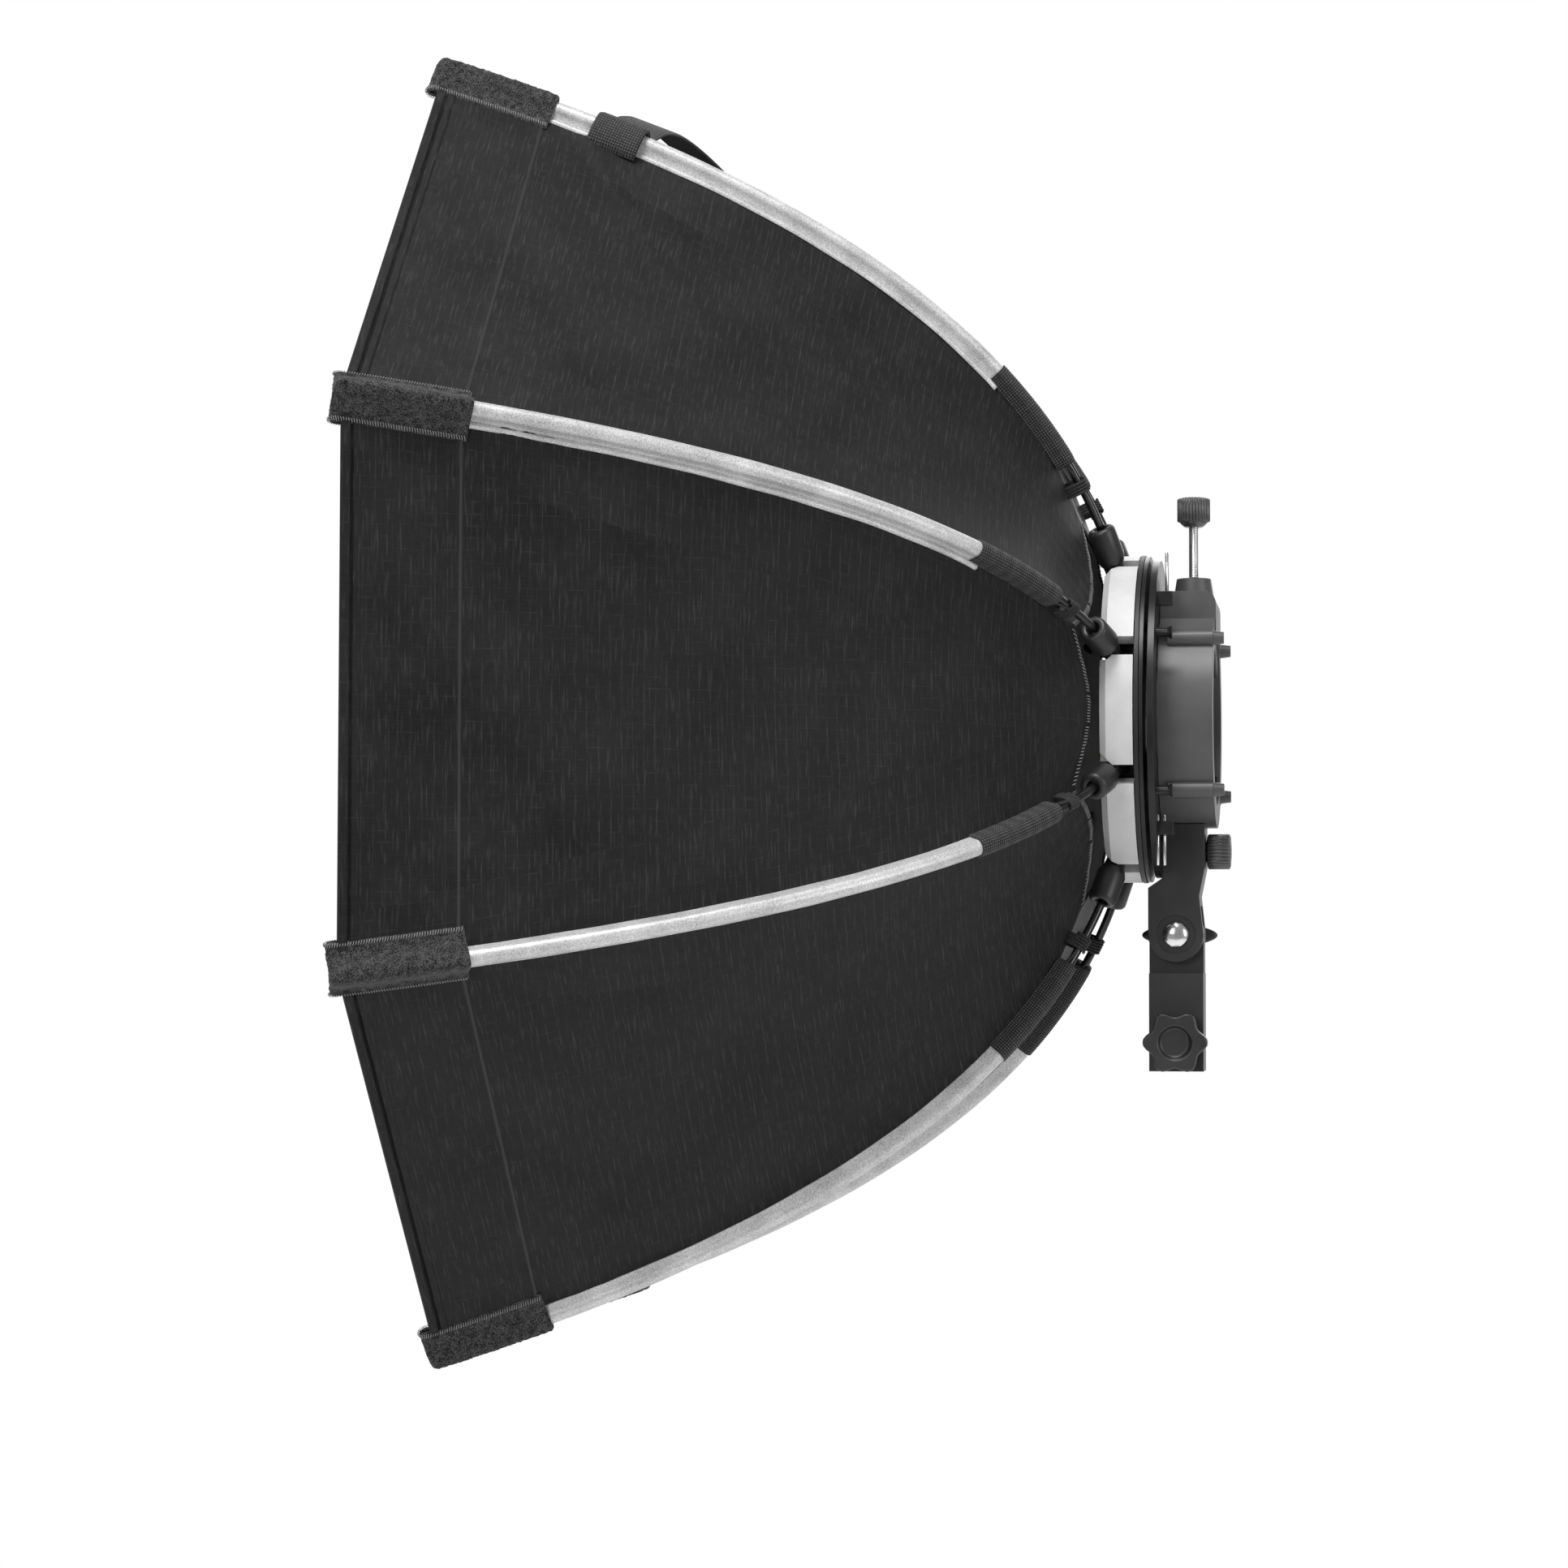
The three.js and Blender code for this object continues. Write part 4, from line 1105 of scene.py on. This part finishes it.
def latch_pins():
    """Pairs of steel spring pins behind the flange, held in the plate's small blocks."""
    pins = []
    places = ((46, 9.4, -72, 24), (46, 12.6, -72, 24), (40, 13.6, 56, 21), (36, 13.6, 56, 21))
    for x, y, low, length in places:
        profile = [(0, 0.3), (0, 0.5), (0.3, 0.75), (length - 0.3, 0.75), (length, 0.5), (length, 0.3)]
        pins.append(lathe("pin", from_hub(x, y, low), (0, 0, 1), profile, [STEEL], 16))
    belongs(join("latch_pins", pins), BODY_OF_NODE["face_plate"], "steel")


def tilt_lever():
    """A flat lever with rounded tips on both sides of its screw's boss."""
    centre = TILT_PIVOT
    rings = []
    for x, scale in ((-19.9, 0.9), (-20.3, 0.97), (-21, 1.0), (-25, 1.0), (-25.7, 0.97), (-26.1, 0.88)):
        ring = []
        for a in np.linspace(0, 2 * math.pi, 72, endpoint=False):
            width = 4.8 + 3.4 * math.exp(-((18.3 * math.cos(a) / 7.5) ** 2))
            y, z = 18.3 * math.cos(a), width * math.sin(a)
            ring.append(Vector((centre.x + x * MM, centre.y + y * scale * MM, centre.z + z * scale * MM)))
        rings.append(ring)
    blade = loft("blade", rings, [BLACK_PLASTIC])
    profile = [(-27.5, 0.5), (-27.5, 5.6), (-27.0, 6.4), (-24, 7.2), (-24, 0.5)]
    boss = lathe("boss", centre, (1, 0, 0), profile, [BLACK_PLASTIC], 48)
    belongs(join("lever", [blade, boss]), BODY_OF_NODE["tilt_lever"], "black_plastic", "tilt_lever")


def bracket_parts():
    latch_pins()
    mouldings = (
        ("face_plate", BLACK_METAL, 0.35), ("clamp_body", BODY_PLASTIC, 0.9),
        ("tilt_arm", BLACK_PLASTIC, 0.7), ("stand_adapter", BLACK_PLASTIC, 0.8),
        ("upper_jaw", BLACK_PLASTIC, 0.5), ("upper_pad", RUBBER, 0.4), ("lower_pad", RUBBER, 0.4),
        ("pivot_bolt", STEEL, 0.2),
    )
    for node, material, edge in mouldings:
        refined(node, material, edge * MM)
    tilt_lever()
    refined("star_knob", BLACK_PLASTIC, 1.1 * MM, 4)
    screw = threaded_rod("clamp_screw_thread", from_hub(0, 24.5, 39), (0, 0, 1))
    belongs(screw, "clamp_screw", "steel", "clamp_screw")
    collar = [(-2.2, 0.5), (-2.2, 4.2), (-1.8, 4.8), (-0.4, 6.4), (-0.1, 6.5)]
    knob("clamp_knob_grip", from_hub(0, 24.5, 95.5), (0, 0, 1), 8, 12, 30, "clamp_knob", collar)
    collar = [(-12, 0.5), (-12, 2.5), (-1.0, 2.5), (-1.0, 4.5), (-0.2, 5.2)]
    place = from_hub(0, 30.5, -64.3)
    knob("rear_thumbscrew_grip", place, (0, 1, 0), 8.5, 11.5, 28, "rear_thumbscrew", collar)


def hub_parts():
    refined("hub_ring", HUB_PLASTIC, 0.4 * MM)
    refined("bayonet_ring", BLACK_METAL, 0.3 * MM)
    wire = frame["nodes"]["rib_hinge_wire"]
    wire.data.materials.clear()
    wire.data.materials.append(STEEL)
    for n in range(1, SIDES + 1):
        refined(f"release_key_{n}", GREY_PLASTIC, 0.25 * MM, 2, 20)


# ---- stage, lights and camera
def pale_floor():
    finish = Finish("pale_floor", 0.9, Emission_Color=(0.9, 0.9, 0.9, 1), Emission_Strength=0.2)
    grain = finish.node("TexNoise", {"Scale": 6.0}).outputs["Fac"]
    return finish.colour(grain, grey(0.882), grey(0.9)).material


def stage():
    size = 2.2
    floor_z = -0.95
    corners = [(x * size, y * size, floor_z) for x, y in ((-1, -1), (1, -1), (1, 1), (-1, 1))]
    floor = new_object("floor", corners, [(0, 1, 2, 3)], [pale_floor()], smooth=False)
    world = bpy.data.worlds.new("studio")
    bpy.context.scene.world = world
    world.use_nodes = True
    tree = world.node_tree
    background = tree.nodes["Background"]
    place = add_node(tree, "TexCoord").outputs["Generated"]
    direction = add_node(tree, "SeparateXYZ", {0: place}).outputs
    inputs = {0: direction["X"], 1: direction["Y"]}
    nearest = add_node(tree, "Math", inputs, operation="MINIMUM").outputs[0]
    inputs = {"Value": nearest, "From Min": -0.55, "From Max": -0.9, "To Min": 0.3, "To Max": 1.0}
    fill_socket(tree, background, "Strength", add_node(tree, "MapRange", inputs).outputs["Result"])
    fill_socket(tree, background, "Color", (1, 1, 1, 1))


def area_light(name, place, target, size, energy):
    data = bpy.data.lights.new(name, "AREA")
    data.shape = "RECTANGLE"
    data.size, data.size_y = size
    data.energy = energy
    light = bpy.data.objects.new(name, data)
    light.location = place
    light.rotation_euler = (Vector(target) - Vector(place)).to_track_quat("-Z", "Y").to_euler()
    bpy.context.scene.collection.objects.link(light)


def lights():
    middle = (0, -0.12, 0.17)
    area_light("key_high", (1.0, -0.2, 2.0), middle, (0.7, 0.9), 40)
    area_light("fill_front", (2.3, -0.9, 0.9), middle, (0.8, 1.0), 16)
    area_light("rim_back", (1.2, 1.8, 0.5), middle, (0.6, 1.2), 16)
    area_light("far_side", (-2.0, 0.4, 1.2), middle, (1.4, 1.4), 14)


def camera():
    yaw, pitch, roll = math.radians(8.82), math.radians(2.69), math.radians(-0.10)
    forward = Vector((-math.cos(yaw) * math.cos(pitch), -math.sin(yaw) * math.cos(pitch), math.sin(pitch)))
    right = Vector((-math.sin(yaw), math.cos(yaw), 0))
    right.rotate(Quaternion(forward, roll))
    up = right.cross(forward)
    place = (1.886, 0.100, 0.050)
    data = bpy.data.cameras.new("camera")
    data.sensor_width = 36
    data.lens = 89.14
    data.clip_end = 40
    obj = bpy.data.objects.new("camera", data)
    turned = Matrix((right, up, -forward)).transposed().to_4x4()
    obj.matrix_world = Matrix.Translation(place) @ turned
    bpy.context.scene.collection.objects.link(obj)
    bpy.context.scene.camera = obj


# ---- assembly
def softbox():
    for n in range(1, SIDES + 1):
        gore_piece(n)
        strip_piece(n)
        rod_piece(n)
        rib = f"rib_{n}"
        belongs(grey_sleeve_piece(n), rib, "grey_sleeve")
        belongs(webbing_sleeve_piece(n), rib, "webbing")
        belongs(lashing_piece(n), rib, "webbing")
        pad = belongs(pad_piece(n), rib, "loop_pile")
        neck_hems(n)
        diffuser_piece(n)
    handle_pieces()


camera()
stage()
lights()
bpy.context.scene.view_settings.view_transform = "Standard"
softbox()
hub_parts()
bracket_parts()
